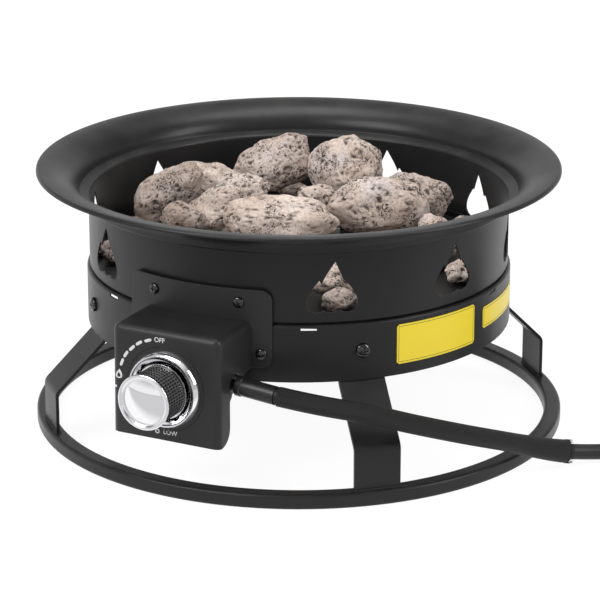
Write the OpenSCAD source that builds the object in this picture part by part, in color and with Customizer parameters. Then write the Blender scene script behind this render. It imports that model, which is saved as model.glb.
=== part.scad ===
// Tabletop gas fire pit: a flared steel bowl of lava rock over a ring burner, on four strap legs and a base ring,
// with a control box, a gas valve and knob, and a hose that ends in a coil with its regulator.
// Millimetres. Z is up, the origin is on the bowl's axis at the base ring's flat bottom, the knob faces -Y.
// Angles about the bowl are measured from -Y toward +X.

/* [Bowl] */
// Outer diameter of the flared rim
rim_d = 483; // [470:1:496]
// Outer diameter of the bowl's upright wall
wall_d = 388; // [382:1:392]
// Height of the wall from the seam to the ledge under the flare
wall_h = 66.5; // [62:0.5:72]
// Height of the flared rim above the ledge
flare_h = 26.5; // [22:0.5:30]
// Thickness of the bowl's sheet
bowl_t = 1.5; // [1.2:0.1:1.8]
// Height of a flame opening
vent_h = 46; // [40:1:48]
// Width of a flame opening
vent_w = 46; // [40:1:50]
// Number of flame openings, with the place behind the control box left closed
vent_places = 10; // [8:1:11]

/* [Skirt] */
// Height of the skirt's lower edge above the table
skirt_z = 99; // [96:0.5:103]
// Height of the skirt
skirt_h = 52; // [48:0.5:56]
// Thickness of the skirt's sheet
skirt_t = 1.2; // [1:0.1:1.4]

/* [Stand] */
// Outer diameter of the base ring
ring_d = 493; // [486:1:500]
// Width of the base ring's tube
ring_w = 15.5; // [13:0.5:18]
// Height of the base ring's tube
ring_h = 13.5; // [12:0.5:16]
// Width of a leg
leg_w = 42; // [34:1:46]
// Thickness of a leg
leg_t = 3; // [2:0.5:4]
// Angle of the front legs from the knob, and of the rear legs from the back
leg_angle = 44; // [40:1:50]

/* [Controls] */
// Width of the control box
box_w = 106; // [96:1:112]
// Depth of the control box in front of its plate
box_d = 51.2; // [50:0.2:54]
// Height of the knob's axis above the table
knob_z = 102; // [100:0.5:104]
// Diameter of the knob's cap
knob_d = 49.8; // [44:0.2:52]
// Diameter of the bezel
bezel_d = 70; // [64:1:76]
// Travel of the knob when it is pushed in before turning
push = 2.5; // [1.5:0.1:3]

/* [Burner] */
// Diameter of the burner ring at the middle of its tube
burner_d = 160; // [140:2:180]
// Outer diameter of the burner's tube
burner_tube_d = 13; // [11:0.5:14]
// Number of gas ports
ports = 24; // [12:2:36]

/* [Hose] */
// Outer diameter of the bare hose
hose_d = 14; // [12:0.5:14]
// Number of turns in the stored coil
coil_turns = 4.7; // [4.7:0.1:4.8]

/* [Regulator] */
// Diameter of the regulator's body
regulator_d = 75; // [66:1:80]
// Outer diameter of the bottle nut's hand wheel
wheel_d = 44; // [42:0.5:45]

/* [Lava rock] */
// Size of every rock against its full size
rock_size = 1; // [0.8:0.05:1]

/* [Hidden] */
round_fn = 96; // facets of the large round parts
small_fn = 32; // facets of the small round parts
gap = 0.1; // between parts that rest on each other without pressing
charcoal = [0.17, 0.17, 0.18];
chrome = [0.8, 0.8, 0.82];
brass = [0.75, 0.6, 0.3];
black = [0.08, 0.08, 0.08];
rock_colors = [[0.62, 0.55, 0.5], [0.58, 0.5, 0.46]];

// Bowl, tray and skirt
rim_r = rim_d / 2;
wall_r = wall_d / 2;
seam_z = skirt_z + skirt_h;
ledge_z = seam_z + wall_h;
top_z = ledge_z + flare_h;
flange_w = 14; // of the bowl's bottom flange
ledge_w = 9; // from the wall to the foot of the flare
ledge_rise = 1.5;
lip_h = 3.4; // of the rim's turned-down edge
flare_steps = 9;
tongue_steps = 24; // sides of a tongue of flame
tongue_taper = 1.2;
tongue_widest = 0.74; // greatest width that tongue_taper gives
vent_foot = 10.7; // from the seam to a flame opening
vent_step = 360 / vent_places;
tray_t = 1.5;
tray_z = seam_z + bowl_t;
tray_top = tray_z + tray_t;
tray_r = wall_r - bowl_t - 0.8;
tray_rim_h = 8;
tray_hole_r = 12;
skirt_r = wall_r + 2.5;
skirt_flange_w = 18;
slot_w = 14; // see-through slots under the skirt's top edge
slot_h = 2.6;
notch_r = 12; // opening in the skirt for the gas pipe
notch_top = 8; // of that opening above the knob's axis
flange_screws_n = 6;
flange_screw_r = 2;
flange_screw_at = wall_r - 9;
screw_gap = 0.2;

// Stand
ring_r = ring_d / 2;
ring_corner = 2.8;
ring_t = 1.5;
leg_edge_gap = 0.3; // between a leg's edges and the skirt
leg_r = sqrt(pow(skirt_r - skirt_t - leg_edge_gap, 2) - pow(leg_w / 2, 2)) - leg_t / 2;
foot_r = ring_r - ring_w / 2;
foot_z = skirt_z - 1.6 - foot_r + leg_r; // where a leg starts to slant, at 45 degrees
leg_top_z = skirt_z + 41;
leg_screw_z = skirt_z + 27;
leg_screw_r = 3;

// Plate and box
plate_t = 1.5;
plate_in_r = skirt_r + gap;
plate_r = plate_in_r + plate_t;
plate_w = box_w + 34.4; // straight across
plate_bottom = skirt_z + 13;
plate_top = seam_z + 32;
plate_corner = 10;
plate_screw_a = asin((box_w / 2 + 8.2) / plate_r); // of the lower screws, beside the box
plate_screws = [[-12.2, seam_z + 20], [12.2, seam_z + 20],
    [-plate_screw_a, seam_z - 26], [plate_screw_a, seam_z - 26]];
plate_screw_r = 2.2;
box_t = 1.5;
box_top = seam_z + 3.4;
box_bottom = 54.7;
box_corner = 7;
face = plate_r + box_d; // distance of the box's face from the bowl's axis

// Valve and knob, in distances along their axis from the box's face, positive toward the user
stem_r = 4;
stem_fit = 0.06;
neck_r = 8.8;
neck_end = 5.6;
bezel_floor = 1.8;
nut_t = 2.8;
valve_r = 15;
valve_front = -box_t - gap;
valve_back = -33;
chamber_r = 7.5;
chamber = [-23, -3.3];
washer = [-5.8, -4.3];
outlet_end = -42;
outlet_r = 8;
knob_back = 6.9;
knob_front = 35.5;
knob_rim = 38;
boss_back = 9.2;
knurls = 60;
inlet_y = -(face - 29.1);
inlet_rise = 3.4; // of the inlet above the knob's axis
inlet_z = knob_z + inlet_rise;
inlet_end = 38;
hose_slope = 5; // degrees below level at the inlet
pipe_r = 4.75;
pipe_wall = 0.8;
pipe_nut_l = 10;
pipe_nut_r = 8;

// Burner
tube_r = burner_tube_d / 2;
tube_wall = 1.2;
burner_z = tray_top + 2.5 + tube_r;
spoke_r = tube_r - 0.8;
hub_r = 13;
hub_bottom = tray_top + 1;
port_r = 1.1;
mixer_bottom = knob_z + 7;
mixer_r = 13;
mixer_flange_r = 17;
holder_r = 9;

// Hose, in the order from the valve to the regulator
hose_r = hose_d / 2;
sleeve_r = hose_r + 1.3;
sleeve_gap = 0.35;
hose_sides = 12;
route_steps = 2;
ferrule_l = 36;
ferrule_fit = 0.7;
ferrule_x = box_w / 2 + 4;
route = [[ferrule_x + 3, inlet_y, inlet_z - 0.3], [95, -220, 102], [131, -209, 96], [166, -187, 87],
    [195, -158, 73], [223, -117, 55], [243, -76, 38], [254, -54, 28.5], [276, -21, 15.5], [303, 8, 9.5],
    [330, 32, 8.2], [361, 51, 8.2]];
sleeve_from = route_steps;
sleeve_to = 8 * route_steps;
coil_at = [361, 156];
coil_heading = 27.5;
coil_z = 8.2;
coil_gap = 0.6;
coil_pitch = 14 + coil_gap;
coil_in_r = 59.5;
coil_steps = 24;
coil_sides = 6;
coil_mid = coil_turns / 2;
coil_climb = 0.5; // of a turn, from the lower layer to the upper one
tail_route = [[-94, -15, 25], [-84, -47, 30], [-64, -73, 35.5], [-33, -91, 41], [-8, -94, 46], [12, -88, 50],
    [28, -74, 52.5], [40, -53, 53], [45, -38, 53]];
tail_angle = 72; // heading of the tail's last stretch
tie_angles = [90, 150];
tie_w = 16;
tie_t = 0.8;

// Regulator, along its axis from the end of the hose
regulator_z = 53;
regulator_r = regulator_d / 2;
regulator_x = regulator_r + 18;
outlet_x = 2 * regulator_r + 18;
port_boss_r = 9;
nipple_r = 9;
nipple_flange_r = 12;
wheel_x = outlet_x + 16;
wheel_l = 38;
wheel_wall = 5;
wheel_fit = 0.06;
thread_r = 16.6; // of the gas bottle's connection
thread_l = 18;
wheel_ribs = 24;

// Lava rocks: place, then width, depth and height, in a frame turned by rock_turn
rock_turn = 27.5;
rock_rows = 6;
rock_columns = 9;
rock_cuts = 13; // flat faces broken off each rock
rocks = [[-131, 80, 193, 46, 42, 58], [-84, 122, 197, 100, 38, 40], [-16, 136, 202, 54, 44, 58],
    [-68, 30, 195, 68, 46, 45], [-114, 6, 184, 34, 30, 26], [-20, -42, 197, 106, 44, 50],
    [46, 116, 204, 68, 54, 66], [72, 10, 198, 82, 48, 58], [113, 62, 193, 54, 42, 48],
    [17, 62, 190, 34, 30, 23], [123, -12, 185, 22, 24, 20]];
lower_count = 15; // small rocks along the wall
lower_turn = 16;
lower_size = [38, 30, 20];
lower_r = tray_r - tray_t - lower_size.y / 2 - 7.2;
front_count = 6; // middling rocks behind the front of the wall
front_step = 29;
front_size = [54, 44, 32];
front_r = lower_r - lower_size.y / 2 - front_size.y / 2 - 5;

// Helpers

function unit(v) = v / norm(v);
function spin(v, a) = [v.x * cos(a) - v.y * sin(a), v.x * sin(a) + v.y * cos(a)];

// The point at distance h to the left of a path's point i
function side(p, i, h) = let (
    a = i == 0 ? unit(p[1] - p[0]) : unit(p[i] - p[i - 1]),
    b = i == len(p) - 1 ? a : unit(p[i + 1] - p[i]),
    m = unit(a + b)) p[i] + h * [-m.y, m.x] / (m * a);

// Outline of a sheet of thickness t that follows the path p
function sheet(p, t) = concat(
    [for (i = [0:len(p) - 1]) side(p, i, t / 2)],
    [for (i = [len(p) - 1:-1:0]) side(p, i, -t / 2)]);

// Arc of radius r in place of the corner at b, between a and c
function corner(a, b, c, r, n = 5) = let (
    u = unit(b - a),
    v = unit(c - b),
    turn = acos(u * v),
    way = u.x * v.y > u.y * v.x ? 1 : -1,
    start = b - r * tan(turn / 2) * u,
    mid = start + way * r * [-u.y, u.x])
    [for (k = [0:n]) mid + spin(start - mid, way * turn * k / n)];

// The path p with each inner corner rounded
function bent(p, r) = concat([p[0]],
    [for (i = [1:len(p) - 2]) each corner(p[i - 1], p[i], p[i + 1], r)],
    [p[len(p) - 1]]);

// A smooth curve through the points p, with n steps from each to the next
function between(a, b, c, d, t) = 0.5 * (2 * b + (c - a) * t + (2 * a - 5 * b + 4 * c - d) * t * t
    + (3 * b - a - 3 * c + d) * t * t * t);
function curve(p, n) = let (
    e = concat([2 * p[0] - p[1]], p, [2 * p[len(p) - 1] - p[len(p) - 2]]))
    concat([for (i = [0:len(p) - 2], k = [0:n - 1]) between(e[i], e[i + 1], e[i + 2], e[i + 3], k / n)],
    [p[len(p) - 1]]);

// Rings of n points about the path p, and the faces between them. The list e may hold the points before and after
// the path, which turn its end rings.
function tube_points(p, r, n, e) = [for (i = [0:len(p) - 1])
    let (before = i > 0 ? p[i - 1] : e[0] ? e[0] : p[i],
        after = i < len(p) - 1 ? p[i + 1] : e[1] ? e[1] : p[i],
        t = unit(after - before),
        u = unit(cross(t, [0, 0, 1])),
        w = cross(u, t))
    for (k = [0:n - 1]) p[i] + r * (cos(360 * k / n) * u + sin(360 * k / n) * w)];
function tube_wall(m, n) = [for (i = [0:m - 2], k = [0:n - 1])
    let (a = i * n + k, b = i * n + (k + 1) % n)
    each [[a, b, b + n], [a, b + n, a + n]]];
function turned(faces, s) = [for (f = faces) [f[2] + s, f[1] + s, f[0] + s]];

module tube(p, r, n, e = []) {
    m = len(p);
    last = (m - 1) * n;
    near = [for (k = [1:n - 2]) [0, k + 1, k]];
    far = [for (k = [1:n - 2]) [last, last + k, last + k + 1]];
    polyhedron(tube_points(p, r, n, e), concat(tube_wall(m, n), near, far));
}

module hollow_tube(p, r_out, r_in, n) {
    m = len(p);
    s = m * n;
    last = (m - 1) * n;
    near = [for (k = [0:n - 1]) let (q = (k + 1) % n) each [[k, k + s, q + s], [k, q + s, q]]];
    far = turned([for (f = near) f], last);
    polyhedron(concat(tube_points(p, r_out, n, []), tube_points(p, r_in, n, [])),
        concat(tube_wall(m, n), turned(tube_wall(m, n), s), near, far));
}

// Children made at the front, turned to the angle a
module at(a) rotate([0, 0, a]) children();

// An outline in distance from the bowl's axis and height, w wide
module upright(w) rotate([90, 0, -90]) linear_extrude(height = w, center = true) children();

// Children whose Z runs out to the front at the height z
module facing(z) translate([0, 0, z]) rotate([90, 0, 0]) children();

module revolve(p, n = small_fn) rotate_extrude($fn = n) polygon(p);

module round_box(w, h, r) {
    translate([r, 0]) square([w - 2 * r, h]);
    translate([0, r]) square([w, h - 2 * r]);
    for (x = [r, w - r], y = [r, h - r]) translate([x, y]) circle(r, $fn = small_fn);
}

module hex_nut(r, t, bore) difference() {
    cylinder(r = r, h = t, $fn = 6);
    translate([0, 0, -1]) cylinder(r = bore, h = t + 2, $fn = small_fn);
}

// A pan-head screw with its head's underside at 0 and its shank of length l below
module pan_screw(r, l) {
    head_r = 2.1 * r;
    head_t = 1.1 * r;
    slot = 0.45 * r;
    difference() {
        revolve([[0, -l], [r - 0.4, -l], [r, 0.4 - l], [r, 0], [head_r, 0], [head_r, 0.4 * head_t],
            [0.8 * head_r, 0.85 * head_t], [0.4 * head_r, head_t], [0, head_t]]);
        for (a = [0, 90]) rotate([0, 0, a])
            translate([-0.55 * head_r, -slot / 2, 0.5 * head_t]) cube([1.1 * head_r, slot, head_t]);
    }
}

// Bowl

// One tongue of flame: a drop w wide and h high whose tip leans by the distance lean
module tongue(w, h, lean) polygon([for (k = [0:tongue_steps - 1]) let (
    a = 360 * k / tongue_steps,
    y = (1 + cos(a)) / 2)
    [w / 2 * sin(a) * pow(sin(a / 2), tongue_taper) / tongue_widest + lean * y * y, h * y]]);

module flame() {
    side_w = 0.42 * vent_w;
    tongue(0.54 * vent_w, vent_h, 0.06 * vent_w);
    for (s = [-1, 1]) translate([s * (vent_w - side_w) / 2, 0])
        tongue(side_w, 0.64 * vent_h, -0.05 * s * vent_w);
}

module fire_bowl() {
    foot = [wall_r + ledge_w, ledge_z + ledge_rise];
    edge = rim_r - bowl_t / 2;
    reach = edge - 3 - foot.x;
    rise = top_z - bowl_t / 2 - foot.y;
    wall = bent([[wall_r - flange_w, seam_z + bowl_t / 2], [wall_r - bowl_t / 2, seam_z + bowl_t / 2],
        [wall_r - bowl_t / 2, ledge_z - bowl_t / 2], foot], 2.2);
    flare = [for (k = [1:flare_steps]) let (a = 90 * k / flare_steps)
        foot + [reach * (1 - cos(a)), rise * sin(a)]];
    lip = concat(corner(foot + [reach, rise], [edge, foot.y + rise], [edge, top_z - 9], 2),
        [[edge, top_z - lip_h]]);
    color(charcoal) difference() {
        revolve(sheet(concat(wall, flare, lip), bowl_t), round_fn);
        for (k = [1:vent_places - 1]) at(k * vent_step)
            translate([0, 10 - wall_r, seam_z + vent_foot]) rotate([90, 0, 0])
                linear_extrude(height = 20) flame();
        for (s = plate_screws) if (s[1] > seam_z)
            at(s[0]) facing(s[1]) translate([0, 0, wall_r - 5])
                cylinder(r = plate_screw_r + screw_gap, h = 10, $fn = small_fn);
        flange_holes();
    }
}

module flange_holes() {
    for (k = [0:flange_screws_n - 1]) at(k * 360 / flange_screws_n)
        translate([0, -flange_screw_at, seam_z - 5])
            cylinder(r = flange_screw_r + screw_gap, h = 15, $fn = small_fn);
}

module rock_tray() {
    profile = bent([[tray_hole_r, tray_z + tray_t / 2], [tray_r - tray_t / 2, tray_z + tray_t / 2],
        [tray_r - tray_t / 2, tray_z + tray_rim_h]], 2.2);
    color(charcoal) difference() {
        revolve(sheet(profile, tray_t), round_fn);
        flange_holes();
        for (r = [45, 115, 150], k = [0:11]) at(30 * k + 15)
            translate([0, -r, tray_z - 1]) cylinder(r = 5, h = tray_t + 2, $fn = small_fn);
    }
}

module skirt() {
    profile = bent([[skirt_r - skirt_flange_w, seam_z - skirt_t / 2], [skirt_r - skirt_t / 2, seam_z - skirt_t / 2],
        [skirt_r - skirt_t / 2, skirt_z]], 1.8);
    color(charcoal) difference() {
        revolve(sheet(profile, skirt_t), round_fn);
        flange_holes();
        for (k = [0:5]) at(60 * k + 30)
            translate([-slot_w / 2, -skirt_r - 5, seam_z - 2 - slot_h]) cube([slot_w, 12, slot_h]);
        translate([-notch_r, -skirt_r - 5, skirt_z - 1])
            cube([2 * notch_r, 12, knob_z + notch_top - skirt_z + 1]);
        for (a = leg_places()) at(a) facing(leg_screw_z) translate([0, 0, skirt_r - 6])
            cylinder(r = leg_screw_r + screw_gap, h = 10, $fn = small_fn);
        for (s = plate_screws) if (s[1] < seam_z)
            at(s[0]) facing(s[1]) translate([0, 0, skirt_r - 6])
                cylinder(r = plate_screw_r + screw_gap, h = 10, $fn = small_fn);
    }
}

module flange_screws() color(chrome)
    for (k = [0:flange_screws_n - 1]) at(k * 360 / flange_screws_n)
        translate([0, -flange_screw_at, seam_z - skirt_t]) rotate([180, 0, 0]) pan_screw(flange_screw_r, 9);

module flange_nuts() color(chrome)
    for (k = [0:flange_screws_n - 1]) at(k * 360 / flange_screws_n)
        translate([0, -flange_screw_at, tray_top]) hex_nut(3.8, 2.4, flange_screw_r + gap);

// Burner

module burner_solid(wall) {
    r = tube_r - wall;
    translate([0, 0, burner_z]) rotate_extrude($fn = round_fn)
        translate([burner_d / 2, 0]) circle(r, $fn = small_fn);
    for (k = [0:2]) at(120 * k) facing(burner_z) cylinder(r = spoke_r - wall, h = burner_d / 2, $fn = small_fn);
}

module burner_ring() color(chrome) difference() {
    union() {
        burner_solid(0);
        translate([0, 0, hub_bottom]) cylinder(r = hub_r, h = burner_z + spoke_r + 1.5 - hub_bottom, $fn = 48);
    }
    burner_solid(tube_wall);
    translate([0, 0, hub_bottom - 1])
        cylinder(r = hub_r - 3, h = burner_z + spoke_r - hub_bottom, $fn = 48);
    for (k = [0:ports - 1]) at((k + 0.5) * 360 / ports)
        translate([0, -burner_d / 2, burner_z]) cylinder(r = port_r, h = 2 * tube_r, $fn = 16);
}

module burner_feet() color(chrome)
    for (k = [0:2]) at(120 * k + 60) difference() {
        translate([-6, -burner_d / 2 - tube_r, tray_top]) cube([12, 2 * tube_r, tube_r]);
        translate([-7, -burner_d / 2, burner_z]) rotate([0, 90, 0])
            cylinder(r = tube_r + 0.4, h = 14, $fn = small_fn);
    }

module burner_nut() color(brass)
    translate([0, 0, tray_z - 6]) hex_nut(17, 6, tray_hole_r - 1 + gap);

module mixer_tube() color(brass) difference() {
    revolve([[0, mixer_bottom], [mixer_r, mixer_bottom], [mixer_r, mixer_bottom + 20],
        [9.5, mixer_bottom + 26], [9.5, mixer_bottom + 32], [tray_hole_r - 1, mixer_bottom + 36],
        [tray_hole_r - 1, tray_top], [mixer_flange_r, tray_top], [mixer_flange_r, hub_bottom],
        [0, hub_bottom]], 48);
    revolve([[0, mixer_bottom + 1.5], [mixer_r - 1.3, mixer_bottom + 1.5], [mixer_r - 1.3, mixer_bottom + 19],
        [7, mixer_bottom + 26], [7, mixer_bottom + 32], [9, hub_bottom + 1], [0, hub_bottom + 1]], 48);
    translate([0, 0, mixer_bottom - 1]) cylinder(r = 5 + gap, h = 5, $fn = small_fn);
    for (a = [0, 90]) rotate([0, 0, a])
        translate([-mixer_r - 1, -5, mixer_bottom + 4]) cube([2 * mixer_r + 2, 10, 12]);
}

module orifice_holder() color(brass) difference() {
    union() {
        translate([0, 0, mixer_bottom - 12]) cylinder(r = holder_r, h = 12, $fn = 6);
        translate([0, 0, mixer_bottom - 1]) cylinder(r = 5, h = 5, $fn = small_fn);
    }
    translate([0, 0, knob_z]) cylinder(r = 2.2, h = 20, $fn = small_fn);
    facing(knob_z) cylinder(r = 3, h = 20, $fn = small_fn);
}

module gas_jet() color(brass)
    revolve([[0.5, mixer_bottom + 4], [4, mixer_bottom + 4], [4, mixer_bottom + 7], [2.5, mixer_bottom + 10],
        [0.5, mixer_bottom + 10]]);

module gas_pipe() color(chrome) facing(knob_z) translate([0, 0, holder_r]) difference() {
    length = face + outlet_end - holder_r;
    cylinder(r = pipe_r, h = length, $fn = small_fn);
    translate([0, 0, -1]) cylinder(r = pipe_r - pipe_wall, h = length + 2, $fn = small_fn);
}

module pipe_nuts() color(brass)
    for (h = [holder_r + gap, face + outlet_end - pipe_nut_l - gap])
        facing(knob_z) translate([0, 0, h]) hex_nut(pipe_nut_r, pipe_nut_l, pipe_r + gap);

// Plate and box

module control_plate() color(charcoal) difference() {
    intersection() {
        revolve([[plate_in_r, plate_bottom], [plate_r, plate_bottom], [plate_r, plate_top],
            [plate_in_r, plate_top]], round_fn);
        translate([-plate_w / 2, 0, plate_bottom]) rotate([90, 0, 0]) linear_extrude(height = plate_r + 5)
            round_box(plate_w, plate_top - plate_bottom, plate_corner);
    }
    for (s = plate_screws) at(s[0]) facing(s[1]) translate([0, 0, plate_r - 6])
        cylinder(r = plate_screw_r + screw_gap, h = 10, $fn = small_fn);
}

module plate_screws_set() color(chrome)
    for (s = plate_screws) at(s[0]) facing(s[1]) translate([0, 0, plate_r]) pan_screw(plate_screw_r, 9);

// Seen from above, the outline of the box inside its sheet by t
module box_plan(t) {
    r = box_corner - t;
    w = box_w - 2 * t;
    d = 120;
    translate([-w / 2, t + r - face]) square([w, d]);
    translate([r - w / 2, t - face]) square([w - 2 * r, d]);
    for (s = [-1, 1]) translate([s * (w / 2 - r), t + r - face]) circle(r, $fn = small_fn);
}

function box_side() = let (
    back = plate_r - 10,
    hip = face - 19.3,
    low = [hip, box_bottom],
    top = [face, box_top])
    concat([[back, box_top], [back, plate_bottom], [plate_r + 2, plate_bottom - 1], [face - 27, plate_bottom - 11],
        [hip, plate_bottom - 19]],
        corner([hip, plate_bottom], low, [face, box_bottom], 15),
        [[face, box_bottom]],
        corner([face, box_bottom], top, [back, box_top], box_corner));

function box_inside() = let (
    top = [face - box_t, box_top - box_t])
    concat([[face - 100, 0], [face - box_t, 0]],
        corner([face - box_t, 0], top, [0, box_top - box_t], box_corner - box_t), [[face - 100, box_top - box_t]]);

module control_box() color(charcoal) difference() {
    intersection() {
        linear_extrude(height = box_top + 10) box_plan(0);
        upright(box_w + 10) polygon(box_side());
    }
    intersection() {
        translate([0, 0, -10]) linear_extrude(height = box_top + 20) box_plan(box_t);
        upright(box_w) polygon(box_inside());
    }
    cylinder(r = plate_r + gap, h = box_top + 10, $fn = round_fn);
    facing(knob_z) translate([0, 0, face - 5]) cylinder(r = neck_r + 0.4, h = 10, $fn = small_fn);
    translate([box_w / 2 - 5, inlet_y, inlet_z]) rotate([0, 90, 0]) cylinder(r = 10, h = 10, $fn = small_fn);
}

module on_face() facing(knob_z) translate([0, 0, face]) children();

module bezel() color(chrome) on_face() revolve([[neck_r + 0.4, 0], [bezel_d / 2, 0], [bezel_d / 2, 1.5],
    [bezel_d / 2 - 1.2, 5.8], [bezel_d / 2 - 2.6, 7.4], [bezel_d / 2 - 4.4, 7], [27, bezel_floor + 0.4],
    [26, bezel_floor], [neck_r + 0.4, bezel_floor]], 72);

// Valve and knob

module valve_body() color(brass) difference() {
    union() {
        on_face() revolve([[0, outlet_end], [outlet_r, outlet_end], [outlet_r, valve_back], [valve_r - 2, valve_back],
            [valve_r, valve_back + 2], [valve_r, valve_front], [neck_r, valve_front], [neck_r, neck_end],
            [0, neck_end]], 48);
        translate([0, inlet_y, inlet_z]) rotate([0, 90, 0]) cylinder(r = 9, h = inlet_end, $fn = small_fn);
    }
    on_face() revolve([[0, outlet_end - 1], [3, outlet_end - 1], [3, chamber[0]], [chamber_r, chamber[0]],
        [chamber_r, chamber[1]], [stem_r + stem_fit, chamber[1]], [stem_r + stem_fit, neck_end + 1],
        [0, neck_end + 1]]);
    translate([0, inlet_y, inlet_z]) rotate([0, 90, 0]) cylinder(r = 3.5, h = inlet_end + 1, $fn = small_fn);
}

module panel_nut() color(chrome)
    on_face() translate([0, 0, bezel_floor + gap]) hex_nut(12.5, nut_t, neck_r + gap);

module valve_stem() color(chrome) on_face() difference() {
    collar = washer[0] - gap;
    revolve([[0, -13], [stem_r, -13], [stem_r, collar - 2], [5.8, collar - 2], [5.8, collar], [stem_r, collar],
        [stem_r, knob_front - 3], [0, knob_front - 3]]);
    translate([-5, stem_r - 1.2, boss_back]) cube([10, 5, knob_front]);
}

module stem_washer() color(chrome) on_face()
    revolve([[stem_r + 0.35, washer[0]], [chamber_r - 0.4, washer[0]], [chamber_r - 0.4, washer[1]],
        [stem_r + 0.35, washer[1]]]);

module knob_barrel() color(black) on_face() difference() {
    r = knob_d / 2 - 1.4;
    translate([0, 0, knob_back]) linear_extrude(height = knob_front - knob_back)
        polygon([for (k = [0:2 * knurls - 1]) let (q = r - 0.8 * (k % 2), a = 180 * k / knurls)
            q * [cos(a), sin(a)]]);
    revolve([[8, knob_back - 1], [r - 4, knob_back - 1], [r - 4, knob_front - 7], [8, knob_front - 7]], 48);
    translate([0, 0, knob_back - 1]) cylinder(r = 8.5, h = boss_back - knob_back + 1, $fn = small_fn);
    translate([0, 0, knob_back]) cylinder(r = stem_r + gap, h = knob_front - knob_back - 2, $fn = small_fn);
}

module knob_cap() color(chrome) on_face() let (r = knob_d / 2)
    revolve([[0, knob_front], [r, knob_front], [r, knob_rim - 0.8], [r - 0.7, knob_rim], [r - 2.3, knob_rim],
        [r - 3, knob_rim - 1.1], [r - 5, knob_rim - 1.4], [r - 11, knob_rim - 0.8], [r - 18, knob_rim - 0.3],
        [0, knob_rim]], 72);

module knob_ring() color(chrome) on_face() let (r = knob_d / 2)
    revolve([[r - 4, knob_back - 1.5], [r - 0.6, knob_back - 1.5], [r - 0.3, knob_back - 1.2],
        [r - 0.3, knob_back], [r - 4, knob_back]], 72);

module inlet_nut() color(brass) translate([inlet_end - 4, inlet_y, inlet_z]) rotate([0, 90, 0]) difference() {
    cylinder(r = 11, h = 15, $fn = 6);
    translate([0, 0, -1]) cylinder(r = 9 + gap, h = 10, $fn = small_fn);
    translate([0, 0, -1]) cylinder(r = 5 + gap, h = 20, $fn = small_fn);
}

// Stand

// Outline of the ring's tube inside its surface by t
function ring_outline(t) = let (
    r = ring_corner - t,
    x = [ring_r - ring_w + t, ring_r - t],
    y = [t, ring_h - t],
    p = [[x[0], y[0]], [x[1], y[0]], [x[1], y[1]], [x[0], y[1]]])
    [for (i = [0:3]) each corner(p[(i + 3) % 4], p[i], p[(i + 1) % 4], r, 4)];

module base_ring() color(charcoal) difference() {
    revolve(ring_outline(0), round_fn);
    revolve(ring_outline(ring_t), round_fn);
}

function leg_places() = [-leg_angle, leg_angle, leg_angle - 180, 180 - leg_angle];

module leg(a) color(charcoal) at(a) difference() {
    upright(leg_w) polygon(sheet(bent([[foot_r, ring_h], [foot_r, foot_z], [leg_r, foot_z + foot_r - leg_r],
        [leg_r, leg_top_z]], 8), leg_t));
    facing(leg_screw_z) translate([0, 0, leg_r - 10])
        cylinder(r = leg_screw_r + screw_gap, h = 20, $fn = small_fn);
}

module leg_screws() color(chrome)
    for (a = leg_places()) at(a) facing(leg_screw_z) translate([0, 0, skirt_r]) pan_screw(leg_screw_r, 14);

module leg_nuts() color(chrome)
    for (a = leg_places()) at(a) facing(leg_screw_z)
        translate([0, 0, leg_r - leg_t / 2 - 5]) hex_nut(5.8, 5 - gap, leg_screw_r + gap);

// Hose

// The coil's middle line after t turns, in its own frame: in along the lower layer, out along the upper one
function coil_point(t) = let (
    r = coil_in_r + coil_pitch * abs(t - coil_mid),
    s = min(1, max(0, (t - coil_mid) / coil_climb + 0.5)),
    a = 360 * t - 90)
    [r * cos(a), r * sin(a), coil_z + coil_pitch * s * s * (3 - 2 * s)];
coil_first = coil_point(0);
coil_last = coil_point(coil_turns);
coil_lead = hose_d * unit(coil_point(0) - coil_point(0.01));
coil_trail = hose_d * unit(coil_point(coil_turns) - coil_point(coil_turns - 0.01));
coil_rings = round(coil_turns * coil_steps);
coil_path = concat([coil_first + coil_lead],
    [for (k = [0:coil_rings]) coil_point(coil_turns * k / coil_rings)], [coil_last + coil_trail]);

// Least distance between stretches of the coil that lie more than half a turn apart, less the hose's diameter
coil_least = min([for (i = [0:len(coil_path) - 1], j = [i + coil_steps / 2:1:len(coil_path) - 1])
    norm(coil_path[i] - coil_path[j])]) - hose_d;
echo(coil_least_gap = coil_least);

function to_part(p) = let (q = spin([p.x, p.y], coil_heading)) [q.x + coil_at.x, q.y + coil_at.y, p.z];

run_path = curve(concat(route, [to_part(coil_path[0])]), route_steps);
coil_line = [for (p = coil_path) to_part(p)];
tail_path = curve(concat([coil_line[len(coil_line) - 1]], [for (p = tail_route) to_part(p)]), route_steps);

module hose_run() color(black) tube(run_path, hose_r, hose_sides, [0, coil_line[1]]);

module hose_sleeve() color(black)
    hollow_tube([for (k = [sleeve_from:sleeve_to]) run_path[k]], sleeve_r, hose_r + sleeve_gap, hose_sides);

module hose_coil() color(black)
    tube(coil_line, hose_r, coil_sides, [run_path[len(run_path) - 2], tail_path[1]]);

module hose_tail() color(black)
    tube(tail_path, hose_r, hose_sides, [coil_line[len(coil_line) - 2], 0]);

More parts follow.
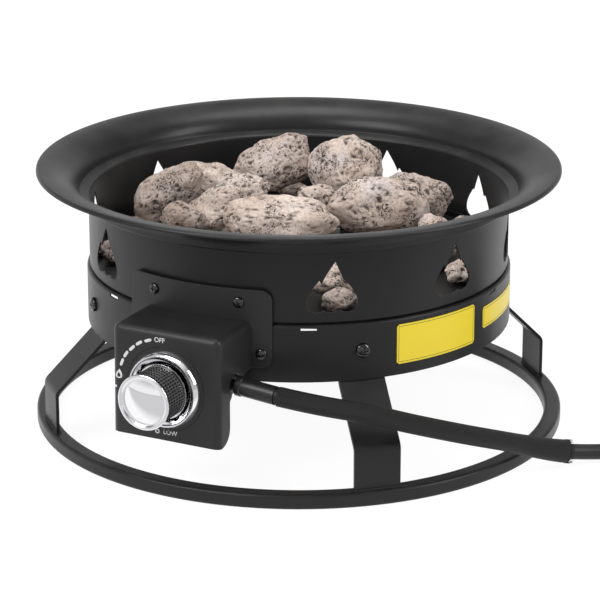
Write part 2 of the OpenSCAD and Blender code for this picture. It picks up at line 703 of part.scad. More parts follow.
module hose_ferrule() color(chrome) difference() {
    union() {
        translate([inlet_end + 1, inlet_y, inlet_z]) rotate([0, 90, 0])
            cylinder(r = 5, h = ferrule_x - inlet_end - 1, $fn = small_fn);
        translate([ferrule_x, inlet_y, inlet_z]) rotate([0, 90 + hose_slope, 0])
            revolve([[0, -2], [8.2, -2], [9, -1], [9, 3], [8.2, 4], [8.2, ferrule_l], [0, ferrule_l]]);
    }
    translate([inlet_end, inlet_y, inlet_z]) rotate([0, 90, 0]) cylinder(r = 3, h = 20, $fn = small_fn);
    translate([ferrule_x, inlet_y, inlet_z]) rotate([0, 90 + hose_slope, 0])
        cylinder(r = hose_r + ferrule_fit, h = ferrule_l + 1, $fn = small_fn);
}

module coil_frame() translate([coil_at.x, coil_at.y, 0]) rotate([0, 0, coil_heading]) children();

module coil_ties() color(black) coil_frame() for (a = tie_angles) {
    inner = coil_in_r - hose_r - 1;
    outer = coil_in_r + coil_pitch * coil_mid + hose_r + 1;
    top = coil_z + coil_pitch + hose_r + 0.3;
    rotate([90, 0, a]) linear_extrude(height = tie_w, center = true) difference() {
        translate([inner - tie_t, coil_z - hose_r - 0.2 - tie_t])
            round_box(outer - inner + 2 * tie_t, top - coil_z + hose_r + 0.2 + 2 * tie_t, 3);
        translate([inner, coil_z - hose_r - 0.2]) round_box(outer - inner, top - coil_z + hose_r + 0.2, 2.2);
    }
}

// Regulator

// Children whose Z runs along the regulator's axis from the end of the hose
module on_regulator() coil_frame() translate(tail_route[len(tail_route) - 1]) rotate([0, 0, tail_angle])
    rotate([0, 90, 0]) children();

module tail_ferrule() color(chrome) on_regulator() difference() {
    revolve([[0, -12], [8.4, -12], [8.4, 4], [6, 5], [6, 14], [0, 14]]);
    translate([0, 0, -13]) cylinder(r = hose_r + 0.3, h = 13.5, $fn = small_fn);
    cylinder(r = 3, h = 20, $fn = small_fn);
}

module disc_frame() coil_frame() translate(tail_route[len(tail_route) - 1]) rotate([0, 0, tail_angle])
    translate([regulator_x, 0, 0]) children();

module regulator_body() color([0.55, 0.56, 0.58]) {
    low = coil_z + coil_pitch + hose_r + 0.6 - regulator_z;
    disc_frame() revolve([[0, low], [0.55 * regulator_r, low], [0.62 * regulator_r, low + 2],
        [0.7 * regulator_r, -11], [regulator_r - 3, -7], [regulator_r, -6], [regulator_r, -gap], [0, -gap]], 72);
    on_regulator() difference() {
        union() {
            translate([0, 0, 14 + gap]) cylinder(r = port_boss_r, h = 20, $fn = 6);
            translate([0, 0, regulator_x]) cylinder(r = port_boss_r, h = outlet_x - regulator_x, $fn = 6);
        }
        translate([0, 0, 15]) cylinder(r = 3, h = outlet_x, $fn = small_fn);
        rotate([0, -90, 0]) translate([regulator_x - regulator_r - 0.5, -20, -gap])
            cube([2 * regulator_r + 1, 40, 20]);
    }
}

module regulator_cover() color([0.6, 0.15, 0.12])
    disc_frame() revolve([[0, 0], [regulator_r, 0], [regulator_r, 4], [regulator_r - 3, 5.5],
        [0.72 * regulator_r, 7], [0.66 * regulator_r, 13], [0.6 * regulator_r, 15], [8, 16], [8, 20],
        [7, 21], [0, 21]], 72);

module tank_nipple() color(brass) on_regulator() difference() {
    grip = wheel_x + wheel_wall + 0.4;
    revolve([[0, outlet_x + gap], [nipple_r, outlet_x + gap], [nipple_r, grip], [nipple_flange_r, grip],
        [nipple_flange_r, grip + 3], [5.5, grip + 3], [5.5, grip + 9], [4, grip + 11], [0, grip + 11]], 48);
    translate([0, 0, outlet_x]) cylinder(r = 2.5, h = 60, $fn = small_fn);
}

module hand_wheel() color(black) on_regulator() translate([0, 0, wheel_x]) difference() {
    r = wheel_d / 2;
    linear_extrude(height = wheel_l)
        polygon([for (k = [0:4 * wheel_ribs - 1]) let (q = r - (k % 4 < 2 ? 0 : 1.5), a = 90 * k / wheel_ribs)
            q * [cos(a), sin(a)]]);
    revolve([[0, -1], [nipple_r + wheel_fit, -1], [nipple_r + wheel_fit, wheel_wall], [14, wheel_wall],
        [14, wheel_l - thread_l], [thread_r, wheel_l - thread_l], [thread_r, wheel_l + 1], [0, wheel_l + 1]], 48);
}

// Lava rock

// Each rock is a ball that has flat faces broken off, stretched to its size
function break_way(i, s) = let (
    z = 1 - (2 * i + 1) / rock_cuts,
    a = 137.5 * i + 61 * s,
    c = sqrt(1 - z * z)) [c * cos(a), c * sin(a), z];
function break_at(i, s) = 0.85 + 0.12 * sin(97 * i + 131 * s);
function rock_reach(v, s) = min(concat([1],
    [for (i = [0:rock_cuts - 1]) let (d = break_way(i, s) * v) if (d > 0.3) break_at(i, s) / d]));
function rock_point(e, a, s) = let (
    v = [cos(e) * cos(a), cos(e) * sin(a), sin(e)]) rock_reach(v, s) * v;

module stone(place, size, s) {
    n = rock_columns;
    last = 1 + (rock_rows - 1) * n;
    points = concat([rock_point(-90, 0, s)],
        [for (i = [1:rock_rows - 1], k = [0:n - 1]) rock_point(180 * i / rock_rows - 90, 360 * (k + i % 2 / 2) / n, s)],
        [rock_point(90, 0, s)]);
    bottom = [for (k = [0:n - 1]) [0, 1 + k, 1 + (k + 1) % n]];
    walls = [for (i = [0:rock_rows - 3], k = [0:n - 1])
        let (a = 1 + i * n + k, b = 1 + i * n + (k + 1) % n)
        each (i % 2 == 0 ? [[a, a + n, b], [a + n, b + n, b]] : [[a, b + n, b], [a, a + n, b + n]])];
    top = [for (k = [0:n - 1]) [last, last - n + (k + 1) % n, last - n + k]];
    translate(place) polyhedron([for (p = points)
        [p.x * size.x, p.y * size.y, p.z * size.z] * rock_size / 2], concat(bottom, walls, top));
}

module rock(i) color(rock_colors[i % 2]) rotate([0, 0, rock_turn])
    stone([rocks[i][0], rocks[i][1], rocks[i][2]], [rocks[i][3], rocks[i][4], rocks[i][5]], i);

module lower_rocks() color(rock_colors[0]) {
    for (i = [0:lower_count - 1]) at(i * 360 / lower_count + lower_turn)
        stone([0, -lower_r, tray_top + lower_size.z / 2 + 0.3], lower_size, 20 + i);
    for (i = [0:front_count - 1]) at(rock_turn + (i - (front_count - 1) / 2) * front_step)
        stone([0, -front_r, tray_top + front_size.z / 2 + 0.3], front_size, 40 + i);
}

fire_bowl();
rock_tray();
skirt();
flange_screws();
flange_nuts();
burner_ring();
burner_feet();
burner_nut();
mixer_tube();
orifice_holder();
gas_jet();
gas_pipe();
pipe_nuts();
control_plate();
control_box();
plate_screws_set();  // plate_screws
bezel();
valve_body();
panel_nut();
valve_stem();
stem_washer();
knob_barrel();
knob_cap();
knob_ring();
inlet_nut();
base_ring();
leg(-leg_angle);  // leg_front_left
leg(leg_angle);  // leg_front_right
leg(leg_angle - 180);  // leg_rear_left
leg(180 - leg_angle);  // leg_rear_right
leg_screws();
leg_nuts();
hose_ferrule();
hose_sleeve();
hose_run();
hose_coil();
hose_tail();
coil_ties();
tail_ferrule();
regulator_body();
regulator_cover();
tank_nipple();
hand_wheel();
lower_rocks();
rock(0);  // rock_1
rock(1);  // rock_2
rock(2);  // rock_3
rock(3);  // rock_4
rock(4);  // rock_5
rock(5);  // rock_6
rock(6);  // rock_7
rock(7);  // rock_8
rock(8);  // rock_9
rock(9);  // rock_10
rock(10);  // rock_11
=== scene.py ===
"""Tabletop gas fire pit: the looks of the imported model.
Metres, in the model's own frame: Z is up, the knob faces -Y, and angles about the bowl are measured from -Y
toward +X. Sizes are written in millimetres, which MM turns to metres."""
import bpy, bmesh, math, random
import numpy as np
from math import cos, sin
from mathutils import Matrix, Vector, noise


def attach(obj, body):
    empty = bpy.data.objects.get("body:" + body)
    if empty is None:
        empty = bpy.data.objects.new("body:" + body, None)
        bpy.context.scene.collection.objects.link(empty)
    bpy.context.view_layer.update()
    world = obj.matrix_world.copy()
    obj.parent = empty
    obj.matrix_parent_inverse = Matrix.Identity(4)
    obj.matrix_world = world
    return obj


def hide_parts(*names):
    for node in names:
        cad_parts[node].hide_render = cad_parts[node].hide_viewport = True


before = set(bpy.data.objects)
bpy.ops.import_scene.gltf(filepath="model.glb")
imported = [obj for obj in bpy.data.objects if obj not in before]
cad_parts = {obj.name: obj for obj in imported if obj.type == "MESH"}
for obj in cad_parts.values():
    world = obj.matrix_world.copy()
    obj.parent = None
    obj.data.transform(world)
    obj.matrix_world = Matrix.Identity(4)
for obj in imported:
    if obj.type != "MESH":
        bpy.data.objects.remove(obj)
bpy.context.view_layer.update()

MM = 0.001
VIEW_TURN = 27.5  # degrees from the knob's axis to the viewpoint, and of what is laid out as seen from there

# Driving sizes, in millimetres
RIM_R = 241.5
WALL_R = 194
SEAM_Z = 151
LEDGE_Z = 217.5
TOP_Z = 244
SHEET = 1.5
SKIRT_R = 196.5
SKIRT_Z = 99
FACE_Y = -249.3
KNOB_Z = 102
KNOB_R = 24.9
RING_TOP = 13.5
FOOT_R = 238.75
LEG_W = 42
LEG_T = 3
LEG_ANGLES = (-44, 44, -136, 136)
HOSE_R = 7
TRAY_TOP = 154


# ---- helpers

def spot(angle, r, z):
    """A point at an angle and a distance from the bowl's axis."""
    a = math.radians(angle)
    return Vector((r * sin(a), -r * cos(a), z)) * MM


def turned(x, y, angle):
    a = math.radians(angle)
    return x * cos(a) - y * sin(a), x * sin(a) + y * cos(a)


def linked(name, data):
    """An object in the scene that shows data."""
    obj = bpy.data.objects.new(name, data)
    bpy.context.scene.collection.objects.link(obj)
    return obj


def mesh_object(name, bm):
    mesh = bpy.data.meshes.new(name)
    bm.to_mesh(mesh)
    bm.free()
    return linked(name, mesh)


def paint(obj, finish):
    obj.data.materials.clear()
    obj.data.materials.append(MATS[finish])


def new_piece(name, verts, faces, finish, **kw):
    """A mesh piece from points in metres."""
    mesh = bpy.data.meshes.new(name)
    mesh.from_pydata([tuple(v) for v in verts], [], faces)
    return finish_piece(linked(name, mesh), finish, **kw)


def finish_piece(obj, finish, body="pit", sharp=30, replaces=(), slot=None):
    """Gives a piece its looks and its body. A mesh is smooth up to the angle sharp."""
    if obj.type == "MESH":
        soften(obj.data, sharp)
    paint(obj, finish)
    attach(obj, body)
    if replaces:
        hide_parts(*replaces)
    return obj


def point_values(obj, label, values):
    """A number at each point of a mesh, which its material reads as the attribute label."""
    layer = obj.data.attributes.new(label, "FLOAT", "POINT")
    layer.data.foreach_set("value", np.array(values, dtype=np.float32))


def apply_modifiers(obj):
    mesh = bpy.data.meshes.new_from_object(obj.evaluated_get(bpy.context.evaluated_depsgraph_get()))
    obj.modifiers.clear()
    obj.data = mesh


def cut_away(obj, cutter):
    mod = obj.modifiers.new("cut", "BOOLEAN")
    mod.operation, mod.solver, mod.object = "DIFFERENCE", "EXACT", cutter
    apply_modifiers(obj)
    bpy.data.objects.remove(cutter)


def soften(mesh, sharp):
    """Smooth shading, with the edges above the angle sharp kept crisp."""
    bm = bmesh.new()
    bm.from_mesh(mesh)
    bmesh.ops.recalc_face_normals(bm, faces=bm.faces)
    limit = math.radians(sharp)
    for f in bm.faces:
        f.smooth = True
    for e in bm.edges:
        e.smooth = len(e.link_faces) == 2 and e.calc_face_angle(0) < limit
    bm.to_mesh(mesh)
    bm.free()


def angles(steps):
    """The angles of a whole turn, in radians."""
    return [2 * math.pi * k / steps for k in range(steps)]


def around(a, r, h):
    """A point at the angle a, r from the Z axis and h up, in millimetres."""
    return Vector((r * cos(a), r * sin(a), h)) * MM


def joined_rings(rings, n):
    """Faces between rings of n points each, closed both ways."""
    faces = []
    for k in range(rings):
        here, there = k * n, (k + 1) % rings * n
        faces += [(here + i, here + (i + 1) % n, there + (i + 1) % n, there + i) for i in range(n)]
    return faces


def lathe(name, profile, finish, steps=192, place=Matrix(), **kw):
    """A closed outline of (distance from the axis, height), in millimetres, turned about place's axis."""
    verts = [place @ around(a, r, h) for a in angles(steps) for r, h in profile]
    return new_piece(name, verts, joined_rings(steps, len(profile)), finish, **kw)


def prism(bm, near, far):
    """A prism between two outlines of as many points, in metres."""
    rows = [[bm.verts.new(p) for p in outline] for outline in (near, far)]
    bm.faces.new(rows[0])
    bm.faces.new(rows[1][::-1])
    for i in range(len(near)):
        j = (i + 1) % len(near)
        bm.faces.new((rows[0][i], rows[1][i], rows[1][j], rows[0][j]))
    bmesh.ops.recalc_face_normals(bm, faces=bm.faces)
    return rows


FACING = Matrix.Rotation(math.pi / 2, 4, "X")  # turns what lies on the ground to face -Y


def knob_frame():
    """Z runs from the box's face out to the user along the knob's axis."""
    return Matrix.Translation((0, FACE_Y * MM, KNOB_Z * MM)) @ FACING


def tube(name, path, radii, finish, sides, **kw):
    """A tube about the points of path, in metres. Its UV map is in millimetres along and turns around."""
    verts, along, total = [], [], 0.0
    for i, p in enumerate(path):
        u, w = across(path[min(i + 1, len(path) - 1)] - path[max(i - 1, 0)])
        if i:
            total += (p - path[i - 1]).length
        along.append(total / MM)
        verts += [p + radii[i] * (cos(a) * u + sin(a) * w) for a in angles(sides)]
    faces, uvs = [], []
    for i in range(len(path) - 1):
        for k in range(sides):
            q = (k + 1) % sides
            faces.append((i * sides + k, i * sides + q, (i + 1) * sides + q, (i + 1) * sides + k))
            uvs += [(along[i], k / sides), (along[i], (k + 1) / sides),
                    (along[i + 1], (k + 1) / sides), (along[i + 1], k / sides)]
    obj = new_piece(name, verts, faces, finish, **kw)
    layer = obj.data.uv_layers.new(name="UVMap")
    layer.data.foreach_set("uv", np.array(uvs, dtype=np.float32).ravel())
    return obj


def across(way):
    """Two directions square to way and to each other, the first of them level."""
    t = way.normalized()
    u = t.cross(Vector((0, 0, 1))).normalized()
    return u, u.cross(t)


def curve(points, n):
    """A smooth curve through the points, with n steps from each to the next, as the CAD source draws it."""
    p = [np.array(q, float) for q in points]
    e = [2 * p[0] - p[1]] + p + [2 * p[-1] - p[-2]]
    out = []
    for i in range(len(p) - 1):
        a, b, c, d = e[i:i + 4]
        for k in range(n):
            t = k / n
            out.append(0.5 * (2 * b + (c - a) * t + (2 * a - 5 * b + 4 * c - d) * t ** 2
                              + (3 * b - a - 3 * c + d) * t ** 3))
    return out + [p[-1]]


def arc(a, b, c, r, n=6):
    """The corner at b, between a and c, rounded to radius r."""
    a, b, c = (np.array(v, float) for v in (a, b, c))
    u, v = (b - a) / np.linalg.norm(b - a), (c - b) / np.linalg.norm(c - b)
    turn = math.acos(max(-1, min(1, float(u @ v))))
    way = 1 if u[0] * v[1] > u[1] * v[0] else -1
    start = b - r * math.tan(turn / 2) * u
    mid = start + way * r * np.array((-u[1], u[0]))
    full = way * math.degrees(turn)
    return [tuple(mid + np.array(turned(*(start - mid), full * k / n))) for k in range(n + 1)]


def thickened(path, t):
    """Outline of a sheet of thickness t about the line path."""
    p = [np.array(q, float) for q in path]
    sides = []
    for h in (t / 2, -t / 2):
        row = []
        for i, q in enumerate(p):
            a = p[1] - q if i == 0 else q - p[i - 1]
            b = a if i == len(p) - 1 else p[i + 1] - q
            a, b = a / np.linalg.norm(a), b / np.linalg.norm(b)
            m = (a + b) / np.linalg.norm(a + b)
            row.append(tuple(q + h * np.array((-m[1], m[0])) / (m @ a)))
        sides.append(row)
    return sides[0] + sides[1][::-1]


# ---- camera

PICTURE_W = 600
FOCAL_PX = 2791.3  # focal length in pixels of a picture of that width
SENSOR = 36
CAM_DISTANCE = 2599.3
CAM_HEIGHT_ANGLE = 17.617
CAM_AIM = Vector((0, 0, 150)) * MM
SHIFT = (0.0019, -0.0693)


def make_camera():
    data = bpy.data.cameras.new("view")
    cam = linked("view", data)
    e = math.radians(CAM_HEIGHT_ANGLE)
    cam.location = CAM_AIM + spot(VIEW_TURN, CAM_DISTANCE * cos(e), CAM_DISTANCE * sin(e))
    cam.rotation_euler = (CAM_AIM - cam.location).to_track_quat("-Z", "Y").to_euler()
    data.sensor_width = SENSOR
    data.lens = FOCAL_PX * SENSOR / PICTURE_W
    data.shift_x, data.shift_y = SHIFT
    data.clip_start, data.clip_end = 0.1, 50
    bpy.context.scene.camera = cam


# ---- shader helpers

def group(name, inputs, outputs):
    tree = bpy.data.node_groups.new(name, "ShaderNodeTree")
    for label, default in inputs:
        socket = tree.interface.new_socket(label, in_out="INPUT", socket_type="NodeSocketFloat")
        socket.default_value = default
    for label, kind in outputs:
        tree.interface.new_socket(label, in_out="OUTPUT", socket_type=kind)
    return tree, tree.nodes.new("NodeGroupInput"), tree.nodes.new("NodeGroupOutput")


def feed(tree, node, values):
    """Sets a node's inputs, each to a number or a colour or to what another node puts out."""
    for key, value in values.items():
        if isinstance(value, bpy.types.NodeSocket):
            tree.links.new(value, node.inputs[key])
        else:
            node.inputs[key].default_value = value


def add(tree, kind, values=None, **props):
    node = tree.nodes.new(kind)
    for key, value in props.items():
        setattr(node, key, value)
    feed(tree, node, values or {})
    return node


def math_node(tree, operation, a, b):
    return add(tree, "ShaderNodeMath", {0: a, 1: b}, operation=operation).outputs[0]


def sine(tree, a):
    return add(tree, "ShaderNodeMath", {0: a}, operation="SINE").outputs[0]


def times(tree, a, b):
    return math_node(tree, "MULTIPLY", a, b)


def mixed(tree, factor, a, b):
    return add(tree, "ShaderNodeMix", {0: factor, 6: a, 7: b}, data_type="RGBA").outputs[2]


def spread(tree, value, low, high, to_low=0.0, to_high=1.0):
    """Value from low to high, spread over the range from to_low to to_high."""
    return add(tree, "ShaderNodeMapRange", {0: value, 1: low, 2: high, 3: to_low, 4: to_high}).outputs[0]


def own_place(tree):
    return add(tree, "ShaderNodeTexCoord").outputs["Object"]


def mottle(tree, coord, scale, detail, rough=0.5):
    """Noise, from 0 to 1."""
    values = {"Vector": coord, "Scale": scale, "Detail": detail, "Roughness": rough}
    return add(tree, "ShaderNodeTexNoise", values).outputs[0]


def along_way(tree, vector, way):
    """How far vector points along way."""
    return add(tree, "ShaderNodeVectorMath", {0: vector, 1: way}, operation="DOT_PRODUCT").outputs["Value"]


def point_mask(tree, label):
    return add(tree, "ShaderNodeAttribute", attribute_name=label).outputs["Fac"]


def bump(tree, height, strength, distance, **more):
    values = {"Strength": strength, "Distance": distance, "Height": height, **more}
    return add(tree, "ShaderNodeBump", values).outputs[0]


def rgb(r, g, b):
    return (r, g, b, 1)


def grey(v):
    return (v, v, v, 1)


def make_edge_wear():
    """Mask of convex edges, broken up by noise, from the bevelled normal against the true one."""
    tree, given, result = group("edge_wear", [("Radius", 0.0008), ("Amount", 1)],
                                [("Mask", "NodeSocketFloat")])
    bevel = add(tree, "ShaderNodeBevel", {"Radius": given.outputs["Radius"]}, samples=4)
    true = add(tree, "ShaderNodeNewGeometry").outputs["Normal"]
    edge = spread(tree, along_way(tree, bevel.outputs[0], true), 0.995, 0.86)
    broken = spread(tree, mottle(tree, own_place(tree), 160.0, 4.0), 0.42, 0.62)
    feed(tree, result, {"Mask": times(tree, times(tree, edge, broken), given.outputs["Amount"])})
    return tree


def make_fine_grain():
    """The tiny bumps of a sprayed or moulded surface, with rounded edges under them."""
    tree, given, result = group("fine_grain", [("Scale", 900), ("Depth", 0.1), ("Edge", 0.0006)],
                                [("Normal", "NodeSocketVector"), ("Value", "NodeSocketFloat")])
    coord = own_place(tree)
    fine = mottle(tree, coord, given.outputs["Scale"], 3.0, 0.6)
    bevel = add(tree, "ShaderNodeBevel", {"Radius": given.outputs["Edge"]}, samples=4)
    normal = bump(tree, fine, given.outputs["Depth"], 0.0004, Normal=bevel.outputs[0])
    feed(tree, result, {"Normal": normal, "Value": mottle(tree, coord, 9.0, 4.0)})
    return tree


def make_dust():
    """Mask of thin dust on what faces up."""
    tree, given, result = group("dust", [("Amount", 0.1)], [("Mask", "NodeSocketFloat")])
    normal = add(tree, "ShaderNodeNewGeometry").outputs["Normal"]
    up = add(tree, "ShaderNodeSeparateXYZ", {0: normal}).outputs["Z"]
    patch = spread(tree, mottle(tree, own_place(tree), 35.0, 6.0), 0.4, 0.7)
    mask = times(tree, spread(tree, up, 0.3, 1.0), patch)
    feed(tree, result, {"Mask": times(tree, mask, given.outputs["Amount"])})
    return tree


def material(name, color, roughness, metallic=0.0, specular=0.5):
    mat = bpy.data.materials.new(name)
    mat.use_nodes = True
    tree = mat.node_tree
    shader = tree.nodes["Principled BSDF"]
    feed(tree, shader, {"Base Color": rgb(*color), "Roughness": roughness, "Metallic": metallic,
                        "Specular IOR Level": specular})
    mat.diffuse_color = rgb(*color)
    return mat, tree, shader


DUST_COLOR = (0.3, 0.28, 0.25)


def place_group(tree, name, **values):
    return add(tree, "ShaderNodeGroup", values, node_tree=GROUPS[name]).outputs


def grained(name, color, roughness, metallic=0.0, scale=900, depth=0.1, edge=0.0006, wear=None,
            wear_amount=0.5, vary=0.06, dust=0.0, specular=0.5):
    """A plain surface with fine bumps, uneven gloss, and edges rubbed to the colour wear."""
    mat, tree, shader = material(name, color, roughness, metallic, specular)
    grain = place_group(tree, "fine_grain", Scale=scale, Depth=depth, Edge=edge)
    gloss = spread(tree, grain["Value"], 0.3, 0.7, roughness - vary, roughness + vary)
    base = rgb(*color)
    if wear:
        wear_and_highlight = place_group(tree, "edge_wear", Amount=wear_amount)
        base = mixed(tree, wear_and_highlight["Mask"], base, rgb(*wear))
    if dust:
        film = place_group(tree, "dust", Amount=dust)
        base = mixed(tree, film["Mask"], base, rgb(*DUST_COLOR))
    feed(tree, shader, {"Base Color": base, "Roughness": gloss, "Normal": grain["Normal"]})
    return mat


# The stone's colours, painted shades among them, and its pores as (cells in a metre, widest share of a cell)
STONE_DARK = (0.54, 0.42, 0.35)
STONE_LIGHT = (0.78, 0.665, 0.59)
STONE_PINK = (0.7, 0.62, 0.6)
STONE_SPECK = (0.3, 0.225, 0.19)
STONE_SHADE = (0.16, 0.12, 0.1)
STONE_PORE_SHADE = (0.06, 0.042, 0.036)
PORES = ((170.0, 0.24), (320.0, 0.33), (600.0, 0.3))


def make_lava():
    """Porous stone: mottled beige, pink and grey, with scattered pores of three sizes.
    Painted shade darkens the pores, the mesh's pits and creases, and whole rocks by their shade.
    """
    mat, tree, shader = material("lava_rock", (0.6, 0.5, 0.44), 0.95)
    coord = own_place(tree)
    warp = add(tree, "ShaderNodeTexNoise", {"Vector": coord, "Scale": 90.0, "Detail": 4.0})
    bent = add(tree, "ShaderNodeMix", {0: 0.03, 4: coord, 5: warp.outputs[1]}, data_type="VECTOR").outputs[1]
    tone = spread(tree, mottle(tree, coord, 22.0, 5.0, 0.6), 0.36, 0.64)
    pink = spread(tree, mottle(tree, coord, 38.0, 3.0), 0.5, 0.72)
    fine = mottle(tree, coord, 420.0, 6.0, 0.75)
    color = mixed(tree, tone, rgb(*STONE_DARK), rgb(*STONE_LIGHT))
    color = mixed(tree, pink, color, rgb(*STONE_PINK))
    color = mixed(tree, spread(tree, fine, 0.54, 0.36, 0.0, 0.7), color, rgb(*STONE_SPECK))
    crowd = mottle(tree, coord, 48.0, 3.0)
    # painted shade in the pits and creases of the mesh and in the pores below
    solid = spread(tree, point_mask(tree, "pit"), 0.15, 0.9, 1.0, 0.0)
    for scale, size in PORES:
        cell = add(tree, "ShaderNodeTexVoronoi", {"Vector": bent, "Scale": scale, "Randomness": 1.0})
        few = spread(tree, crowd, 0.34, 0.62, 0.02, size)
        away = math_node(tree, "SUBTRACT", cell.outputs["Distance"], few)
        solid = times(tree, solid, spread(tree, away, -0.02, 0.04))
    # painted shade: each rock darkened by its shade attribute
    color = mixed(tree, point_mask(tree, "shade"), color, rgb(*STONE_SHADE))
    color = mixed(tree, solid, rgb(*STONE_PORE_SHADE), color)
    rough = math_node(tree, "ADD", solid, times(tree, fine, 0.9))
    feed(tree, shader, {"Base Color": color, "Normal": bump(tree, rough, 0.9, 0.0011)})
    return mat


BRAID_PITCH = 1.9  # millimetres along the sleeve from strand to strand
BRAID_STRANDS = 28


def make_braid():
    """A sleeve braided from fine flat strands, its pattern along the piece's UV map."""
    mat, tree, shader = material("braid", (0.012, 0.012, 0.013), 0.55, specular=0.3)
    split = add(tree, "ShaderNodeSeparateXYZ", {0: add(tree, "ShaderNodeUVMap", uv_map="UVMap").outputs[0]})
    along = times(tree, split.outputs["X"], 2 * math.pi / BRAID_PITCH)
    round_it = times(tree, split.outputs["Y"], 2 * math.pi * BRAID_STRANDS)
    one = sine(tree, math_node(tree, "ADD", along, round_it))
    two = sine(tree, math_node(tree, "SUBTRACT", along, round_it))
    height = times(tree, one, two)
    # painted shade: darker between the raised strands
    color = mixed(tree, spread(tree, height, -0.6, 0.8), grey(0.006), rgb(0.018, 0.018, 0.019))
    feed(tree, shader, {"Base Color": color, "Normal": bump(tree, height, 0.45, 0.0004)})
    return mat


def make_grip():
    """Black plastic with its grooves, marked by the point attribute groove, painted grey as highlights."""
    mat, tree, shader = material("grip_plastic", (0.01, 0.01, 0.01), 0.26, specular=0.3)
    # painted highlight: the grooves lightened to grey
    wear_and_highlight = spread(tree, point_mask(tree, "groove"), 0.55, 1.0)
    feed(tree, shader, {"Base Color": mixed(tree, wear_and_highlight, grey(0.004), grey(0.085))})
    return mat


GROUPS = {"edge_wear": make_edge_wear(), "fine_grain": make_fine_grain(), "dust": make_dust()}

MATS = {
    "powder": grained("powder_coat", (0.012, 0.012, 0.0125), 0.36, scale=1100, depth=0.16, edge=0.0009,
                      wear=(0.06, 0.06, 0.06), wear_amount=0.35, dust=0.05, specular=0.3),
    "box": grained("box_coat", (0.018, 0.018, 0.0185), 0.38, scale=1400, depth=0.1, edge=0.0009,
                   wear=(0.07, 0.07, 0.07), wear_amount=0.3, dust=0.03, specular=0.35),
    "black_ferrule": grained("black_ferrule", (0.03, 0.03, 0.03), 0.3, metallic=0.6, depth=0.05),
    "black_screw": grained("black_zinc", (0.07, 0.07, 0.072), 0.1, metallic=1, depth=0.02, edge=0.0003,
                           vary=0.03),
    "steel": grained("zinc_steel", (0.55, 0.56, 0.57), 0.3, metallic=1, depth=0.06, edge=0.0004),
    "stainless": grained("stainless_tube", (0.5, 0.48, 0.45), 0.27, metallic=1, depth=0.05, vary=0.1),
    "brass": grained("machined_brass", (0.7, 0.5, 0.2), 0.26, metallic=1, depth=0.04, vary=0.08),
    "chrome": grained("chrome_trim", (0.86, 0.86, 0.88), 0.06, metallic=1, scale=300, depth=0.01,
                      edge=0.0005, vary=0.03),
    "plastic": grained("black_plastic", (0.014, 0.014, 0.014), 0.36, scale=1600, depth=0.08,
                       edge=0.0003),
    "grip": make_grip(),
    "rubber": grained("hose_rubber", (0.011, 0.011, 0.011), 0.46, scale=700, depth=0.12, edge=0.0003,
                      vary=0.1, dust=0.06, specular=0.35),
    "tie": grained("strap", (0.012, 0.012, 0.012), 0.85, scale=1500, depth=0.6, edge=0.0003),
    "alloy": grained("cast_alloy", (0.42, 0.43, 0.44), 0.48, metallic=1, scale=500, depth=0.3, edge=0.0008),
    "enamel": grained("red_enamel", (0.32, 0.02, 0.012), 0.28, scale=300, depth=0.06, edge=0.0008,
                      wear=(0.5, 0.3, 0.25), wear_amount=0.4),
    "sticker": grained("yellow_vinyl", (0.93, 0.72, 0.03), 0.33, scale=260, depth=0.05, edge=0.0002,
                       vary=0.05),
    "ink": grained("black_ink", (0.02, 0.02, 0.02), 0.5, scale=900, depth=0.1, edge=0.0001),
    "print": grained("white_print", (0.72, 0.72, 0.72), 0.5, scale=1500, depth=0.2, edge=0.0001),
    "lava": make_lava(),
    "braid": make_braid(),
}


# ---- gas hose, from the valve to the regulator

ROUTE = [(60, -220, 105.1), (95, -220, 102), (131, -209, 96), (166, -187, 87), (195, -158, 73),
         (223, -117, 55), (243, -76, 38), (254, -54, 28.5), (276, -21, 15.5), (303, 8, 9.5), (330, 32, 8.2),
         (361, 51, 8.2)]
COIL_AT = (361, 156)
COIL_TURNS = 4.7
COIL_PITCH = 14.6
COIL_IN_R = 59.5
COIL_Z = 8.2
COIL_CLIMB = 0.5
TAIL = [(-94, -15, 25), (-84, -47, 30), (-64, -73, 35.5), (-33, -91, 41), (-8, -94, 46), (12, -88, 50),
        (28, -74, 52.5), (40, -53, 53), (45, -38, 53)]
SLEEVE_R = 8.7
HOSE_STEPS = 8
SLEEVE_END = 8 * HOSE_STEPS + 1
SLEEVE_FLARE = 1.9  # the loose end is wider by this radius
SLEEVE_LOOSE = 18  # points of the middle line over which it widens
ON_HOSE = ("hose_ferrule", "tail_ferrule", "regulator_body", "regulator_cover", "tank_nipple", "hand_wheel")


def coil_point(t):
    middle = COIL_TURNS / 2
    r = COIL_IN_R + COIL_PITCH * abs(t - middle)
    s = min(1, max(0, (t - middle) / COIL_CLIMB + 0.5))
    a = 2 * math.pi * t - math.pi / 2
    return np.array((r * cos(a), r * sin(a), COIL_Z + COIL_PITCH * s * s * (3 - 2 * s)))


def to_part(p):
    x, y = turned(p[0], p[1], VIEW_TURN)
    return (COIL_AT[0] + x, COIL_AT[1] + y, p[2])


def hose_line():
    """The whole middle line, in millimetres: the free run, the coil and the tail."""
    def lead(t, way):
        d = coil_point(t) - coil_point(t + way * 0.01)
        return coil_point(t) + 2 * HOSE_R * d / np.linalg.norm(d)
    first, last = lead(0, 1), lead(COIL_TURNS, -1)
    run = curve(ROUTE + [to_part(first)], HOSE_STEPS)
    turns = round(COIL_TURNS * 36)
    coil = [to_part(coil_point(COIL_TURNS * k / turns)) for k in range(turns + 1)]
    tail = [to_part(p) for p in curve([tuple(last)] + TAIL, HOSE_STEPS)]
    return run, coil, tail


def metres(points):
    return [Vector([float(c) for c in p]) * MM for p in points]


